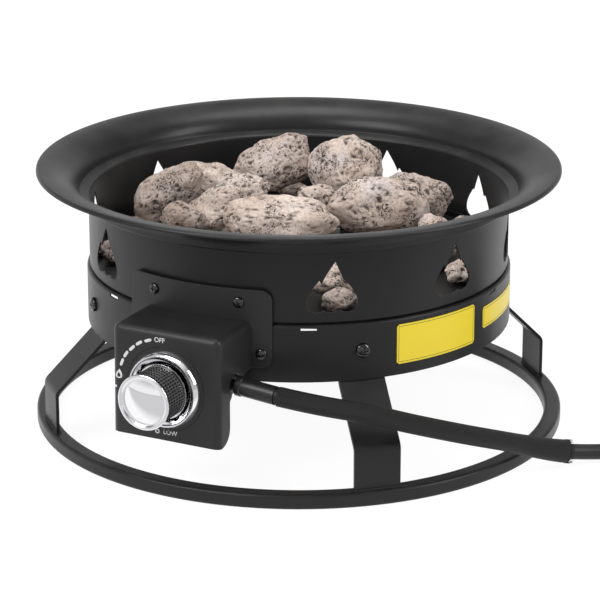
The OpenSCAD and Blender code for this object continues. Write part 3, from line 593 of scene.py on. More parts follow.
def make_hose():
    run, coil, tail = hose_line()
    line = metres(run + coil + tail)
    data = bpy.data.curves.new("gas_hose", "CURVE")
    data.dimensions = "3D"
    data.bevel_depth = HOSE_R * MM
    data.bevel_resolution = 7
    data.use_fill_caps = True
    spline = data.splines.new("POLY")
    spline.points.add(len(line) - 1)
    for point, p in zip(spline.points, line):
        point.co = (*p, 1)
    spline.use_smooth = True
    hose = linked("gas_hose", data)
    finish_piece(hose, "rubber", replaces=("hose_run", "hose_coil", "hose_tail"), slot="hose_rubber")
    cover = metres(run[HOSE_STEPS:SLEEVE_END + 1])
    radii = [(SLEEVE_R + SLEEVE_FLARE * max(0, 1 - k / SLEEVE_LOOSE) ** 1.5) * MM
             for k in reversed(range(len(cover)))]
    sleeve = tube("braided_sleeve", cover, radii, "braid", sides=40,
                  replaces=("hose_sleeve",), slot="braided_sleeve")
    others = [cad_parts[name] for name in ON_HOSE]
    [sleeve, make_fray(cover, radii[-1]), make_straps()] + others


STRAP_ANGLES = (90, 150)
STRAP_W = 16
STRAP_T = 0.9
STRAP_SLACK = 1.2  # between the turns and the strap's middle line
STRAP_ROUND = 4.5
STRAP_SINK = 0.35


def strap_loop(inner, outer, low, top):
    """Middle line of a strap about the coil, seen from its side, that sinks a little between the turns."""
    corners = [(outer, low), (outer, top), (inner, top), (inner, low)]
    line = []
    for k in range(4):
        line += arc(corners[k - 1], corners[k], corners[(k + 1) % 4], STRAP_ROUND)
    loop = []
    for a, b in zip(line, line[1:] + line[:1]):
        steps = max(1, round(math.dist(a, b) / 2))
        for k in range(steps):
            x, z = (a[i] + (b[i] - a[i]) * k / steps for i in (0, 1))
            sink = STRAP_SINK * (1 - cos(2 * math.pi * (x - COIL_IN_R) / COIL_PITCH)) / 2
            loop.append((x, z - sink if z > top - 1 else z))
    return loop


def lay_strap(verts, faces, line, closed, width, angle):
    """Adds a strap of the given width along line, which stands over the coil at angle."""
    n, start = len(line), len(verts)
    for i, (x, z) in enumerate(line):
        before = line[i - 1] if closed or i else line[i]
        after = line[(i + 1) % n] if closed or i < n - 1 else line[i]
        way = np.array((after[0] - before[0], after[1] - before[1]))
        out = np.array((-way[1], way[0])) / np.linalg.norm(way)
        for w, h in ((-1, -1), (1, -1), (1, 1), (-1, 1)):
            px, pz = (x, z) + out * h * STRAP_T / 2
            side = w * (width / 2 - (0.2 if h > 0 else 0))
            verts.append(Vector(to_part((*turned(px, side, angle), pz))) * MM)
    for i in range(n if closed else n - 1):
        here, there = start + 4 * i, start + 4 * ((i + 1) % n)
        faces += [(here + q, here + (q + 1) % 4, there + (q + 1) % 4, there + q) for q in range(4)]
    if not closed:
        faces.append(tuple(start + q for q in (3, 2, 1, 0)))
        faces.append(tuple(start + 4 * (n - 1) + q for q in range(4)))


def make_straps():
    """Hook and loop straps round the coil, each with its free end laid over the top."""
    inner = COIL_IN_R - HOSE_R - STRAP_SLACK
    outer = COIL_IN_R + COIL_PITCH * COIL_TURNS / 2 + HOSE_R + STRAP_SLACK
    low, top = COIL_Z - HOSE_R - 0.5, COIL_Z + COIL_PITCH + HOSE_R + 0.6
    loop = strap_loop(inner, outer, low, top)
    over = [(x, z + STRAP_T) for x, z in loop if z > top - 1 and inner + 9 < x < outer - 7]
    verts, faces = [], []
    for angle in STRAP_ANGLES:
        lay_strap(verts, faces, loop, True, STRAP_W, angle)
        lay_strap(verts, faces, over, False, STRAP_W - 1, angle)
    return new_piece("coil_straps", verts, faces, "tie", sharp=45, replaces=("coil_ties",),
                     slot="tie_fabric")


FRAY_STRANDS = 90
FRAY_LENGTH = (2, 6)
FRAY_R = 0.22


def make_fray(cover, radius):
    """Loose strands at the sleeve's cut end."""
    rng = random.Random(4)
    end = cover[-1]
    t = (end - cover[-2]).normalized()
    u, w = across(t)
    verts, faces = [], []
    for k in range(FRAY_STRANDS):
        a = 2 * math.pi * (k + rng.random()) / FRAY_STRANDS
        out = cos(a) * u + sin(a) * w
        side = (-sin(a) * u + cos(a) * w) * rng.uniform(-0.5, 0.5)
        length = rng.uniform(*FRAY_LENGTH)
        base = end - t * MM + out * radius
        start = len(verts)
        for j in range(4):
            s = j / 3
            p = base + (t * length * s + side * 3 * s + out * (-0.8 + 1.2 * rng.random()) * s * s) * MM
            verts += [p + FRAY_R * MM * (cos(b) * out + sin(b) * t.cross(out)) for b in angles(3)]
        for i in range(start, start + 9, 3):
            faces += [(i + q, i + (q + 1) % 3, i + 3 + (q + 1) % 3, i + 3 + q) for q in range(3)]
    return new_piece("sleeve_fray", verts, faces, "braid", slot="braided_sleeve")


# ---- bowl

VENT_W = 46
VENT_H = 46
VENT_FOOT = 10.7
VENT_PLACES = 10
TONGUE_TAPER = 1.2
TONGUE_WIDEST = 0.74
TONGUE_STEPS = 48
CUTTER_REACH = 8  # to either side of the wall
LEDGE_W = 9
LEDGE_RISE = 1.5
FLANGE_W = 14
BEND_R = 2.2
LIP_R = 2
LIP_IN = 3  # how far inside the rim the flare ends
LIP_DROP = 3.4


def tongue(w, h, lean, x):
    """Outline of one tongue of a flame, w wide and h high, that leans to one side and has its foot at x."""
    points = []
    for a in angles(TONGUE_STEPS):
        y = (1 + cos(a)) / 2
        half = w / 2 * sin(a) * sin(a / 2) ** TONGUE_TAPER / TONGUE_WIDEST
        points.append((x + half + lean * y * y, h * y))
    return points


def flame_cutters():
    """The flame openings as prisms through the wall, one mesh for each tongue of the flame."""
    side_w = 0.42 * VENT_W
    tongues = [tongue(0.54 * VENT_W, VENT_H, 0.06 * VENT_W, 0)]
    for s in (-1, 1):
        tongues.append(tongue(side_w, 0.64 * VENT_H, -0.05 * s * VENT_W, s * (VENT_W - side_w) / 2))
    cutters = []
    for outline in tongues:
        bm = bmesh.new()
        for k in range(1, VENT_PLACES):
            angle = k * 360 / VENT_PLACES
            sides = [[(*turned(x, y, angle), SEAM_Z + VENT_FOOT + z) for x, z in outline]
                     for y in (-WALL_R - CUTTER_REACH, -WALL_R + CUTTER_REACH)]
            prism(bm, *([[c * MM for c in point] for point in side] for side in sides))
        cutters.append(mesh_object("cutter", bm))
    return cutters


def bowl_profile():
    foot = (WALL_R + LEDGE_W, LEDGE_Z + LEDGE_RISE)
    edge, top = RIM_R - SHEET / 2, TOP_Z - SHEET / 2
    reach, rise = edge - LIP_IN - foot[0], top - foot[1]
    wall_x, low, high = WALL_R - SHEET / 2, SEAM_Z + SHEET / 2, LEDGE_Z - SHEET / 2
    flare = [(foot[0] + reach * (1 - cos(a)), foot[1] + rise * sin(a))
             for a in (math.pi / 2 * k / 36 for k in range(1, 37))]
    path = [(WALL_R - FLANGE_W, low)] + arc((WALL_R - FLANGE_W, low), (wall_x, low), (wall_x, high), BEND_R)
    path += arc((wall_x, low), (wall_x, high), foot, BEND_R)
    path += arc((wall_x, high), foot, flare[6], 1.4)
    path += flare[3:] + arc(flare[-1], (edge, top), (edge, LEDGE_Z), LIP_R)
    path += [(edge, TOP_Z - LIP_DROP)]
    return thickened(path, SHEET)


def make_bowl():
    bowl = lathe("bowl_shell", bowl_profile(), "powder", steps=288, replaces=("fire_bowl",),
                 slot="powder_coat")
    for cutter in flame_cutters():
        cut_away(bowl, cutter)
    soften(bowl.data, 28)


# ---- control box

BOX_W = 106
BOX_TOP = 154.4
BOX_BOTTOM = 54.7
BOX_ROUND = 7
BOX_SHEET = 1.5
PLATE_R = 198.1
PLATE_BOTTOM = 112
HIP = -FACE_Y - 19.3
INLET = (BOX_W / 2 - 5, FACE_Y + 29.1, KNOB_Z + 3.4)
INLET_R = 10
STEM_HOLE_R = 9.2
HOLE_DEPTH = 30
WALL_CUT_H = 400


def make_box():
    """The box's sheet: a side outline drawn out to the box's width, rounded, open at the back and below."""
    face = -FACE_Y
    low = arc((HIP, PLATE_BOTTOM), (HIP, BOX_BOTTOM), (face, BOX_BOTTOM), 15, 10)
    side = [(PLATE_R - 10, BOX_TOP), (PLATE_R - 10, PLATE_BOTTOM), (PLATE_R + 2, PLATE_BOTTOM - 1),
            (face - 27, PLATE_BOTTOM - 11), (HIP, PLATE_BOTTOM - 19)]
    side += low + [(face, BOX_BOTTOM), (face, BOX_TOP)]
    bm = bmesh.new()
    rows = prism(bm, *([Vector((x, -d, z)) * MM for d, z in side] for x in (-BOX_W / 2, BOX_W / 2)))
    top_front, top_back = len(side) - 1, 0
    round_edges = [bm.edges.get((rows[0][top_front], rows[1][top_front]))]
    for row in rows:
        round_edges.append(bm.edges.get((row[top_front], row[top_front - 1])))
        round_edges.append(bm.edges.get((row[top_front], row[top_back])))
    bmesh.ops.bevel(bm, geom=round_edges, offset=BOX_ROUND * MM, segments=8, profile=0.5, affect="EDGES")
    bm.normal_update()
    open_sides = [f for f in bm.faces if f.normal.z < -0.05 or f.normal.y > 0.9]
    bmesh.ops.delete(bm, geom=open_sides, context="FACES")
    box = mesh_object("box_shell", bm)
    sheet = box.modifiers.new("sheet", "SOLIDIFY")
    sheet.thickness, sheet.offset, sheet.use_even_offset = BOX_SHEET * MM, -1, True
    apply_modifiers(box)
    inlet = Matrix.Translation(Vector(INLET) * MM) @ Matrix.Rotation(math.pi / 2, 4, "Y")
    cut_round(box, PLATE_R + 0.1, WALL_CUT_H, Matrix())
    cut_round(box, INLET_R, HOLE_DEPTH, inlet)
    cut_round(box, STEM_HOLE_R, HOLE_DEPTH, knob_frame())
    finish_piece(box, "box", sharp=40, replaces=("control_box",), slot="powder_coat")


def cut_round(obj, r, depth, place):
    """A round hole of radius r, in millimetres, through obj about the Z axis of place."""
    bm = bmesh.new()
    sides = 256 if r > BOX_W else 48
    bmesh.ops.create_cone(bm, cap_ends=True, segments=sides, radius1=r * MM, radius2=r * MM,
                          depth=depth * MM, matrix=place)
    cut_away(obj, mesh_object("cutter", bm))


# ---- knob and its print

BEZEL_R = 35
CAP_BACK = 35.5
CAP_RIM = 38
DOME_RISE = 4.2


def make_knob():
    r = KNOB_R
    wide = r - 4.6
    ball = (wide ** 2 + DOME_RISE ** 2) / 2 / DOME_RISE
    dome = [(x, CAP_BACK + 0.3 + DOME_RISE - ball + math.sqrt(ball ** 2 - x ** 2))
            for x in (wide * (1 - k / 24) for k in range(24))]
    cap = [(0.01, CAP_BACK), (r - 0.3, CAP_BACK), (r, CAP_BACK + 0.3), (r, CAP_RIM - 0.9),
           (r - 0.25, CAP_RIM - 0.3), (r - 0.9, CAP_RIM), (r - 2.2, CAP_RIM), (r - 2.9, CAP_RIM - 0.35),
           (r - 3.4, CAP_BACK + 0.9), (r - 4.1, CAP_BACK + 0.4)]
    cap += dome + [(0.01, CAP_BACK + 0.3 + DOME_RISE)]
    lathe("knob_face", cap, "chrome", steps=144, place=knob_frame(), sharp=50, body="turn",
          replaces=("knob_cap",), slot="chrome_trim")
    make_knurl()
    dish = [(9.4, 0), (BEZEL_R, 0), (BEZEL_R, 1.2)]
    dish += [(BEZEL_R - 2.6 * s - 0.2 * s * s, 1.2 + 6.1 * s ** 0.8) for s in (k / 10 for k in range(1, 11))]
    dish += [(BEZEL_R - 3.6, 7.35), (BEZEL_R - 4.4, 7.0)]
    dish += [(BEZEL_R - 4.4 - 4.4 * s, 7.0 - 4.9 * s ** 0.8) for s in (k / 8 for k in range(1, 9))]
    dish += [(25, 1.8), (9.4, 1.8)]
    lathe("knob_bezel", dish, "chrome", steps=144, place=knob_frame(), sharp=40, replaces=("bezel",),
          slot="chrome_trim")


KNURL_COLUMNS = 54
KNURL_ROWS = 6
KNURL_BACK = 6.9
KNURL_FRONT = 35.5
GROOVE_DEPTH = 0.75
BORE_R = 4.1
HUB_R = 8


def knurl_skin(r):
    """The barrel's side as (distance from the axis, height, how high a pad stands there)."""
    pitch = (KNURL_FRONT - KNURL_BACK - 2.6) / KNURL_ROWS
    skin = [(r - 0.7, KNURL_BACK, 0)]
    for j in range(KNURL_ROWS):
        low = KNURL_BACK + 1.5 + pitch * j
        skin += [(r, low, 0), (r, low + 0.8, 0), (r, low + 1.4, 1), (r, low + pitch - 0.6, 1)]
    return skin + [(r - 0.7, KNURL_FRONT, 0)]


def make_knurl():
    """The knob's barrel: rows of small pads, hollow at the back as its CAD solid is."""
    r = KNOB_R - 1.4
    hub, deep, inside = KNURL_BACK + 2.3, KNURL_FRONT - 7, r - 4
    hollow = [(BORE_R, hub), (HUB_R, hub), (HUB_R, deep), (inside, deep), (inside, KNURL_BACK)]
    skin = knurl_skin(r)
    place = knob_frame()
    verts, grooves = [], []
    for k, a in enumerate(angles(4 * KNURL_COLUMNS)):
        raised = 1 if k % 4 in (1, 2) else 0
        sides = [x if x < r else r - GROOVE_DEPTH + GROOVE_DEPTH * h * raised for x, z, h in skin]
        section = hollow + [(x, z) for x, (_, z, _) in zip(sides, skin)] + [(BORE_R, KNURL_FRONT)]
        verts += [place @ around(a, x, z) for x, z in section]
        # the groove mask, which the grip's material paints grey as a painted highlight
        grooves += [0] * len(hollow) + [1 - h * raised if x == r else 0 for x, z, h in skin] + [0]
    grip = new_piece("knob_grip", verts, joined_rings(4 * KNURL_COLUMNS, len(section)), "grip",
                     body="turn", sharp=25, replaces=("knob_barrel",), slot="black_plastic")
    point_values(grip, "groove", grooves)


PRINT_LIFT = 0.06
# The print round the knob, each thing's place given right and up from the knob's axis
DASHES = ((-16.4, 41.9), (-25.4, 38.1), (-32.5, 32.4), (-38.7, 25.9), (-42.9, 17.9))
DASH_SIZE = (7.4, 2.6)
DOT = (-49.5, -5)
DOT_R = 1.2
SIGNS = ((-46.2, 2.5, 9.0), (-8.5, -42.0, 6.0))
WORDS = (("OFF", -5.0, 42.0), ("LOW", 4.4, -41.4))
WORD_SIZE = 5.94


def on_face(points):
    return [Vector((x, FACE_Y - PRINT_LIFT, KNOB_Z + z)) * MM for x, z in points]


def dash(x, z):
    """A bar with round ends, square to the line from the knob's axis to it."""
    length, width = DASH_SIZE
    r = width / 2
    points = []
    for s in (1, -1):
        for k in range(9):
            a = math.pi * (k / 8 - 0.5)
            dx, dz = turned(s * (length / 2 - r + r * cos(a)), s * r * sin(a),
                            math.degrees(math.atan2(z, x)) + 90)
            points.append((x + dx, z + dz))
    return points


def make_dial_marks():
    verts, faces = [], []
    dot = [(DOT[0] + DOT_R * cos(a), DOT[1] + DOT_R * sin(a)) for a in angles(16)]
    for outline in [dash(x, z) for x, z in DASHES] + [dot]:
        faces.append(list(range(len(verts), len(verts) + len(outline))))
        verts += on_face(outline)
    for cx, cz, size in SIGNS:
        outer = [(cx + x, cz + z) for x, z in tongue(0.72 * size, size, 0.1 * size, 0)]
        inner = [(cx + x, cz + 0.14 * size + z) for x, z in tongue(0.36 * size, 0.5 * size, 0, 0)]
        n, start = len(outer), len(verts)
        verts += on_face(outer) + on_face(inner)
        faces += [(start + i, start + (i + 1) % n, start + n + (i + 1) % n, start + n + i) for i in range(n)]
    new_piece("dial_marks", verts, faces, "print")


def make_dial_word(text, x, z):
    data = bpy.data.curves.new("word", "FONT")
    data.body = text
    data.size = WORD_SIZE * MM
    data.align_x = "CENTER"
    data.offset = 0.08 * MM
    word = linked("word", data)
    bpy.context.view_layer.update()
    mesh = bpy.data.meshes.new_from_object(word)
    mesh.transform(Matrix.Translation(on_face([(x, z)])[0]) @ FACING)
    bpy.data.objects.remove(word)
    finish_piece(linked("dial_word_" + text.lower(), mesh), "print")


def make_dial():
    make_dial_marks()
    for text, x, z in WORDS:
        make_dial_word(text, x, z)
    ring = [(37.6, 0.0), (38.4, 0.0), (38.2, 0.25), (37.8, 0.25)]
    lathe("bezel_seat", ring, "box", steps=128, place=knob_frame())


# ---- screw heads

PLATE_SCREW_R = 2.2
LEG_SCREW_R = 3
PLATE_SCREWS = ((-12.2, SEAM_Z + 20), (12.2, SEAM_Z + 20), (-18, SEAM_Z - 26), (18, SEAM_Z - 26))
LEG_SCREW_Z = SKIRT_Z + 27
HEAD_R = 2.2  # these four are in shares of the screw's radius
HEAD_SIDE = 0.45
HEAD_TOP = 1.35
RECESS = (2.5, 0.42, 0.55)


def turn_z(angle):
    return Matrix.Rotation(math.radians(angle), 3, "Z")


def screw_head():
    """Points and faces of a domed head with a cross recess, for a screw of radius 1, its Z axis outward."""
    rise = HEAD_TOP - HEAD_SIDE
    dome = [(HEAD_R * cos(a), HEAD_SIDE + rise * sin(a)) for a in angles(48)[:12]]
    head = lathe("head", [(0.01, 0), (HEAD_R, 0)] + dome + [(0.01, HEAD_TOP)], "black_screw", steps=40)
    for turn in (0, 90):
        bm = bmesh.new()
        bmesh.ops.create_cube(bm, size=MM)
        bmesh.ops.scale(bm, vec=(RECESS[0], RECESS[1], 2 * RECESS[2]), verts=bm.verts)
        bmesh.ops.translate(bm, vec=(0, 0, HEAD_TOP * MM), verts=bm.verts)
        bmesh.ops.rotate(bm, cent=(0, 0, 0), matrix=turn_z(turn), verts=bm.verts)
        cut_away(head, mesh_object("cutter", bm))
    verts = [v.co / MM for v in head.data.vertices]
    faces = [tuple(f.vertices) for f in head.data.polygons]
    bpy.data.objects.remove(head)
    return verts, faces


def make_screw_heads():
    places = [(a, z, PLATE_R, PLATE_SCREW_R) for a, z in PLATE_SCREWS]
    places += [(a, LEG_SCREW_Z, SKIRT_R, LEG_SCREW_R) for a in LEG_ANGLES]
    head, sides = screw_head()
    verts, faces = [], []
    for angle, z, at, r in places:
        place = turn_z(angle).to_4x4() @ Matrix.Translation((0, -at * MM, z * MM)) @ FACING
        start = len(verts)
        verts += [place @ (v * r * MM) for v in head]
        faces += [tuple(i + start for i in f) for f in sides]
    new_piece("screw_heads", verts, faces, "black_screw", sharp=35, slot="black_screws")


# ---- stickers and welds

# Each sticker's name, the angles it runs between and its lower and upper edge
STICKERS = (("sticker_wide", 53.3, 80.2, 109, 145.5), ("sticker_small", 84.4, 110, 118, 138))
STICKER_T = 0.2
STICKER_CORNER = 2
STICKER_STEPS = 40
FRAME_INSET = 1.7
FRAME_LINE = 0.4
FRAME_STEPS = 32


def bent_band(verts, faces, r, a0, a1, edges):
    """Adds a band round the bowl's axis from angle a0 to a1, with its lower and upper edge at each step."""
    steps, start = len(edges) - 1, len(verts)
    for k, heights in enumerate(edges):
        verts += [spot(a0 + (a1 - a0) * k / steps, r, z) for z in heights]
    faces += [(i, i + 2, i + 3, i + 1) for i in range(start, start + 2 * steps, 2)]


def make_sticker(name, a0, a1, z0, z1):
    """A sticker bent round the skirt, with rounded corners."""
    r = SKIRT_R + 0.25
    width = math.radians(a1 - a0) * r
    edges = []
    for k in range(STICKER_STEPS + 1):
        x = width * k / STICKER_STEPS
        to_end = min(STICKER_CORNER, x, width - x)
        cut = STICKER_CORNER - math.sqrt(max(0, STICKER_CORNER ** 2 - (STICKER_CORNER - to_end) ** 2))
        edges.append((z0 + cut, z1 - cut))
    verts, faces = [], []
    bent_band(verts, faces, r, a0, a1, edges)
    obj = new_piece(name, verts, faces, "sticker")
    mod = obj.modifiers.new("thickness", "SOLIDIFY")
    mod.thickness, mod.offset = STICKER_T * MM, 0
    apply_modifiers(obj)
    make_sticker_frame(name + "_frame", a0, a1, z0, z1)


def make_sticker_frame(name, a0, a1, z0, z1):
    """A thin printed line round the sticker, inside its edge."""
    r = SKIRT_R + 0.38
    inset, line = (math.degrees(w / r) for w in (FRAME_INSET, FRAME_LINE))
    left, right = a0 + inset, a1 - inset
    bottom, top = z0 + FRAME_INSET, z1 - FRAME_INSET
    verts, faces = [], []
    for low, high in ((bottom, bottom + FRAME_LINE), (top - FRAME_LINE, top)):
        bent_band(verts, faces, r, left, right, [(low, high)] * (FRAME_STEPS + 1))
    for b0, b1 in ((left, left + line), (right - line, right)):
        bent_band(verts, faces, r, b0, b1, [(bottom, top)] * 2)
    new_piece(name, verts, faces, "ink")


WELD_STEPS = 20
WELD_SIZE = (1.1, 1.5)
WELD_SHAPE = (1.35, 1, 0.8)


def make_welds():
    """A bead round the foot of each leg, where it stands on the base ring."""
    rng = random.Random(7)
    for n, angle in enumerate(LEG_ANGLES):
        bm = bmesh.new()
        across_leg = np.linspace(-LEG_W / 2, LEG_W / 2, WELD_STEPS)
        loop = [(x, -LEG_T / 2) for x in across_leg] + [(-x, LEG_T / 2) for x in across_leg]
        for x, y in loop:
            size = rng.uniform(*WELD_SIZE)
            px, py = turned(x, -FOOT_R + y, angle)
            bead = bmesh.ops.create_uvsphere(bm, u_segments=10, v_segments=6, radius=size * MM)["verts"]
            bmesh.ops.scale(bm, vec=WELD_SHAPE, verts=bead)
            bmesh.ops.rotate(bm, cent=(0, 0, 0), matrix=turn_z(angle), verts=bead)
            bmesh.ops.translate(bm, vec=(px * MM, py * MM, RING_TOP * MM), verts=bead)
        finish_piece(mesh_object("weld_%d" % n, bm), "powder", sharp=80, slot="powder_coat")


# ---- lava rock

ROCK_CUTS = 13
ROCK_SWELL = 1.06
ROCK_CRISP = 15
ROCK_FIRM = 0.09  # moves the faces out again by what the rounding of the edges took
GOLDEN_ANGLE = 137.5
# Each rock's place, its size across, away and up before it is tilted, its tilt as seen from the view,
# and how much painted shade darkens it
ROCKS = [(-124, 74, 191, 74, 44, 46, 42, 0.34), (-88, 106, 190, 86, 42, 44, -8, 0.1),
         (-24, 137, 203, 84, 50, 57, 16, 0.2), (-68, 30, 194, 86, 48, 39, 25, 0.03),
         (-108, 8, 187, 40, 34, 32, 0, 0.42), (-18, -42, 197, 116, 50, 51, 3, 0),
         (46, 116, 202, 71, 56, 66, 0, 0.02), (74, 10, 198, 90, 54, 60, 0, 0.06),
         (111, 62, 193, 71, 48, 45, -22, 0.3), (17, 62, 190, 38, 34, 27, 0, 0.24),
         (123, -12, 185, 26, 28, 24, 0, 0.1)]
# Two rings of smaller rocks on the tray: how many, how far from the axis, the first angle and the step
LOWER = dict(count=15, r=168, turn=16, step=24, size=(38, 30, 20), seed=20)
FRONT = dict(count=6, r=126, turn=VIEW_TURN - 2.5 * 29, step=29, size=(54, 44, 32), seed=40)
LUMPS = ((2.8, 21, 1.0), (0.75, 6, 0.8))  # height, size across and how evenly each finer one fades
CREASE_W = 0.12
PITS = ((8.0, 0.3, 2.4), (4.0, 0.42, 1.5))  # size of a cell, the pore's share of it, and its depth
PIT_DARK = 1.7  # depth from which a pore is quite dark with painted shade


def rock_reach(v, seed):
    """How far each unit direction of v goes before it meets a broken face, with the edges rounded off."""
    i = np.arange(ROCK_CUTS)
    z = 1 - (2 * i + 1) / ROCK_CUTS
    a = np.radians(GOLDEN_ANGLE * i + 61 * seed)
    c = np.sqrt(1 - z * z)
    ways = np.stack([c * np.cos(a), c * np.sin(a), z], 1)
    far = 0.85 + 0.12 * np.sin(np.radians(97 * i + 131 * seed))
    d = v @ ways.T
    reach = np.where(d > 0.3, far / np.maximum(d, 0.3), 1.6)
    reach = np.concatenate([reach, np.full((len(v), 1), ROCK_SWELL)], 1)
    return -np.log(np.exp(-ROCK_CRISP * reach).sum(1)) / ROCK_CRISP + ROCK_FIRM


def stone(size, seed, detail):
    """Points and faces of a rock at the origin, and for each point how much painted shade it gets
    from lying deep in a pore or in a crease.
    """
    bm = bmesh.new()
    bmesh.ops.create_icosphere(bm, subdivisions=detail, radius=1)
    v = np.array([p.co for p in bm.verts])
    faces = [tuple(q.index for q in f.verts) for f in bm.faces]
    bm.free()
    v /= np.linalg.norm(v, axis=1)[:, None]
    reach = rock_reach(v, seed)
    half = np.array(size) / 2
    pits = np.zeros(len(v))
    offset = Vector((13.7 * seed, 5.1 * seed, 2.3))
    for k, p in enumerate(v * reach[:, None] * half):
        at = Vector(p) + offset
        lump = sum(high * noise.fractal(at / wide, fade, 2.0, 3) for high, wide, fade in LUMPS)
        crease = max(0.0, CREASE_W - abs(noise.noise(at / 17 + Vector((7, 3, 1))))) / CREASE_W
        crowd = max(0.0, noise.noise(at / 14) + 0.25)
        pore = 0.0
        for cell, share, deep in PITS:
            near = noise.voronoi(at / cell)[0][0]
            pore += deep * max(0.0, 1 - near / (share * min(1.0, 0.5 + 1.4 * crowd))) ** 0.5
        # painted shade: darker deep in a pore and along a crease
        pits[k] = min(1.0, pore / PIT_DARK + 0.2 * crease)
        reach[k] += (lump - crease - pore) / float(half.mean())
    return v * reach[:, None] * half, faces, pits


def add_rock(name, rocks, node, shade=0.1):
    """One piece of several rocks, each as (place in millimetres, turn, tilt, size, seed, detail).
    All of them are darkened by painted shade, as much as shade says.
    """
    verts, faces, pits = [], [], []
    for place, turn, tilt, size, seed, detail in rocks:
        points, tris, pit = stone(size, seed, detail)
        start = len(verts)
        for p in points:
            aside, up = turned(p[0], p[2], tilt)
            x, y = turned(place[0] + aside, place[1] + p[1], turn)
            verts.append((x * MM, y * MM, (place[2] + up) * MM))
        faces += [tuple(i + start for i in t) for t in tris]
        pits += list(pit)
    obj = new_piece(name, verts, faces, "lava", sharp=70, replaces=(node,), slot="lava_rock")
    point_values(obj, "pit", pits)
    point_values(obj, "shade", [shade] * len(pits))


def make_rocks():
    detail = 5
    for n, (x, y, z, w, d, h, tilt, shade) in enumerate(ROCKS):
        rock = ((x, y, z), VIEW_TURN, tilt, (w, d, h), n, detail)
        add_rock("lava_%d" % (n + 1), [rock], "rock_%d" % (n + 1), shade)
    low = []
    for row in (LOWER, FRONT):
        for k in range(row["count"]):
            place = (0, -row["r"], TRAY_TOP + row["size"][2] / 2 + 0.3)
            low.append((place, row["turn"] + k * row["step"], 0, row["size"], row["seed"] + k, 4))
    add_rock("lava_lower", low, "lower_rocks")


# ---- finishes of the CAD nodes that stay

FINISH = {
    "powder": ("rock_tray", "skirt", "base_ring", "leg_front_left", "leg_front_right", "leg_rear_left",
               "leg_rear_right"),
    "box": ("control_box", "control_plate"),
    "black_screw": ("plate_screws", "leg_screws", "flange_screws", "flange_nuts", "leg_nuts"),
    "steel": ("panel_nut", "valve_stem", "stem_washer", "gas_pipe"),
    "stainless": ("burner_ring", "burner_feet"),
    "brass": ("burner_nut", "mixer_tube", "orifice_holder", "gas_jet", "pipe_nuts", "valve_body",
              "tank_nipple"),
    "chrome": ("knob_ring", "tail_ferrule"),
    "black_ferrule": ("hose_ferrule", "inlet_nut"),
    "plastic": ("hand_wheel",),
    "alloy": ("regulator_body",),
    "enamel": ("regulator_cover",),
}


def finish_nodes():
    for finish, names in FINISH.items():
        for name in names:
            paint(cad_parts[name], finish)


# ---- studio

FLOOR_TONE = 0.6
FLOOR_SHADOW = 0.13
FLOOR_GLOW = 0.93
TABLE_FRONT = (0.29, 0.36)  # metres toward the camera, between which the table's white fades in reflections
ROOM_TONE = 0.56
FLOOR_HALF = 6
FLOOR_DROP = 0.0005
LIGHT_AIM = Vector((0, 0, 0.12))
# Each light's name, its place to the camera's right, away from it and up, its width and height, and watts
LIGHTS = (("key", (-1.7, -1.5, 2.1), (1.7, 1.3), 44), ("right", (2.1, -0.9, 1.3), (0.7, 1.6), 25),
          ("top", (0.1, 0.3, 2.4), (1.6, 1.2), 22))


def from_view(right, away, up):
    """A place or a direction given as seen by the camera: to its right, away from it, and up."""
    return (*turned(right, away, VIEW_TURN), up)


def area_light(name, place, size, power):
    data = bpy.data.lights.new(name, "AREA")
    data.shape = "RECTANGLE"
    data.size, data.size_y = size
    data.energy = power
    light = linked(name, data)
    light.location = from_view(*place)
    light.rotation_euler = (LIGHT_AIM - light.location).to_track_quat("-Z", "Y").to_euler()


def seen_ray(tree, share=1.0):
    """1 for a ray of the camera, share for one that metal or glass sends on, and 0 for diffuse light."""
    path = add(tree, "ShaderNodeLightPath")
    sent = math_node(tree, "MAXIMUM", path.outputs["Is Glossy Ray"], path.outputs["Is Transmission Ray"])
    return math_node(tree, "MAXIMUM", path.outputs["Is Camera Ray"], times(tree, sent, share))


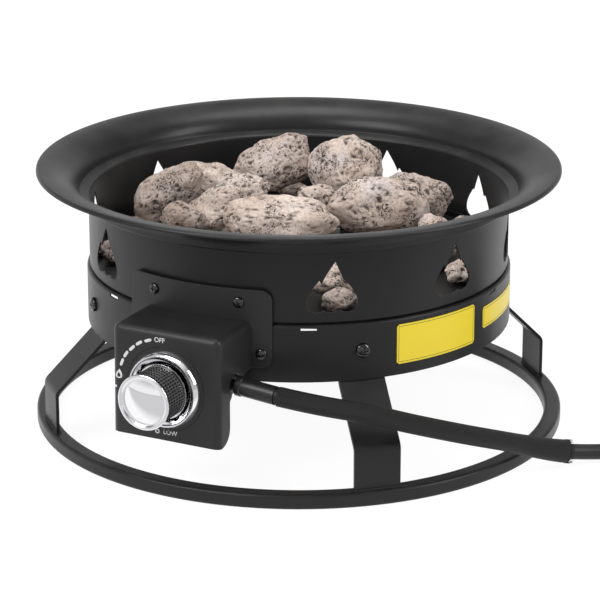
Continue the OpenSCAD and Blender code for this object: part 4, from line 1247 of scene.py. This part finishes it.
def make_floor():
    """White to the eye, save for the object's faint shadow."""
    mat, tree, shader = material("floor", (FLOOR_TONE,) * 3, 0.9, specular=0)
    place = add(tree, "ShaderNodeNewGeometry").outputs["Position"]
    table = spread(tree, along_way(tree, place, from_view(0, -1, 0)), *TABLE_FRONT, 1.0, ROOM_TONE)
    color = mixed(tree, seen_ray(tree), grey(FLOOR_TONE), grey(FLOOR_SHADOW))
    feed(tree, shader, {"Base Color": color, "Emission Color": grey(1),
                        "Emission Strength": times(tree, seen_ray(tree, table), FLOOR_GLOW)})
    bm = bmesh.new()
    bmesh.ops.create_grid(bm, x_segments=8, y_segments=8, size=FLOOR_HALF)
    floor = mesh_object("floor", bm)
    floor.data.materials.append(mat)
    floor.location.z = -FLOOR_DROP


def make_world():
    """White to the eye, darker overhead in reflections. Its light is strongest from the upper left front."""
    world = bpy.data.worlds.new("studio")
    bpy.context.scene.world = world
    world.use_nodes = True
    tree = world.node_tree
    way = add(tree, "ShaderNodeTexCoord").outputs["Generated"]
    up = add(tree, "ShaderNodeSeparateXYZ", {0: way}).outputs["Z"]
    ahead = along_way(tree, way, from_view(0, 1, 0))
    right = along_way(tree, way, from_view(1, 0, 0))
    light = times(tree, spread(tree, up, 0.0, 0.9, 0.3, 0.95), spread(tree, ahead, -0.3, 0.7, 1.0, 0.3))
    light = times(tree, light, spread(tree, right, -1.0, 1.0, 1.25, 0.7))
    back = tree.nodes["Background"]
    feed(tree, back, {"Color": grey(1), "Strength": light})
    horizon, overhead = spread(tree, up, 0.12, 0.5, 1.0, 0.3), spread(tree, up, 0.62, 0.88, 0.0, 0.6)
    white = math_node(tree, "ADD", horizon, overhead)
    white = times(tree, white, spread(tree, right, 0.3, 0.9, 1.0, 0.5))
    bright = add(tree, "ShaderNodeBackground", {"Color": grey(1), "Strength": white})
    both = add(tree, "ShaderNodeMixShader", {0: seen_ray(tree), 1: back.outputs[0], 2: bright.outputs[0]})
    feed(tree, tree.nodes["World Output"], {"Surface": both.outputs[0]})


def make_studio():
    make_floor()
    make_world()
    for light in LIGHTS:
        area_light(*light)
    bpy.context.scene.view_settings.view_transform = "Standard"


make_camera()
make_hose()
make_bowl()
make_box()
make_knob()
make_dial()
make_screw_heads()
for sticker in STICKERS:
    make_sticker(*sticker)
make_welds()
make_rocks()
finish_nodes()
make_studio()
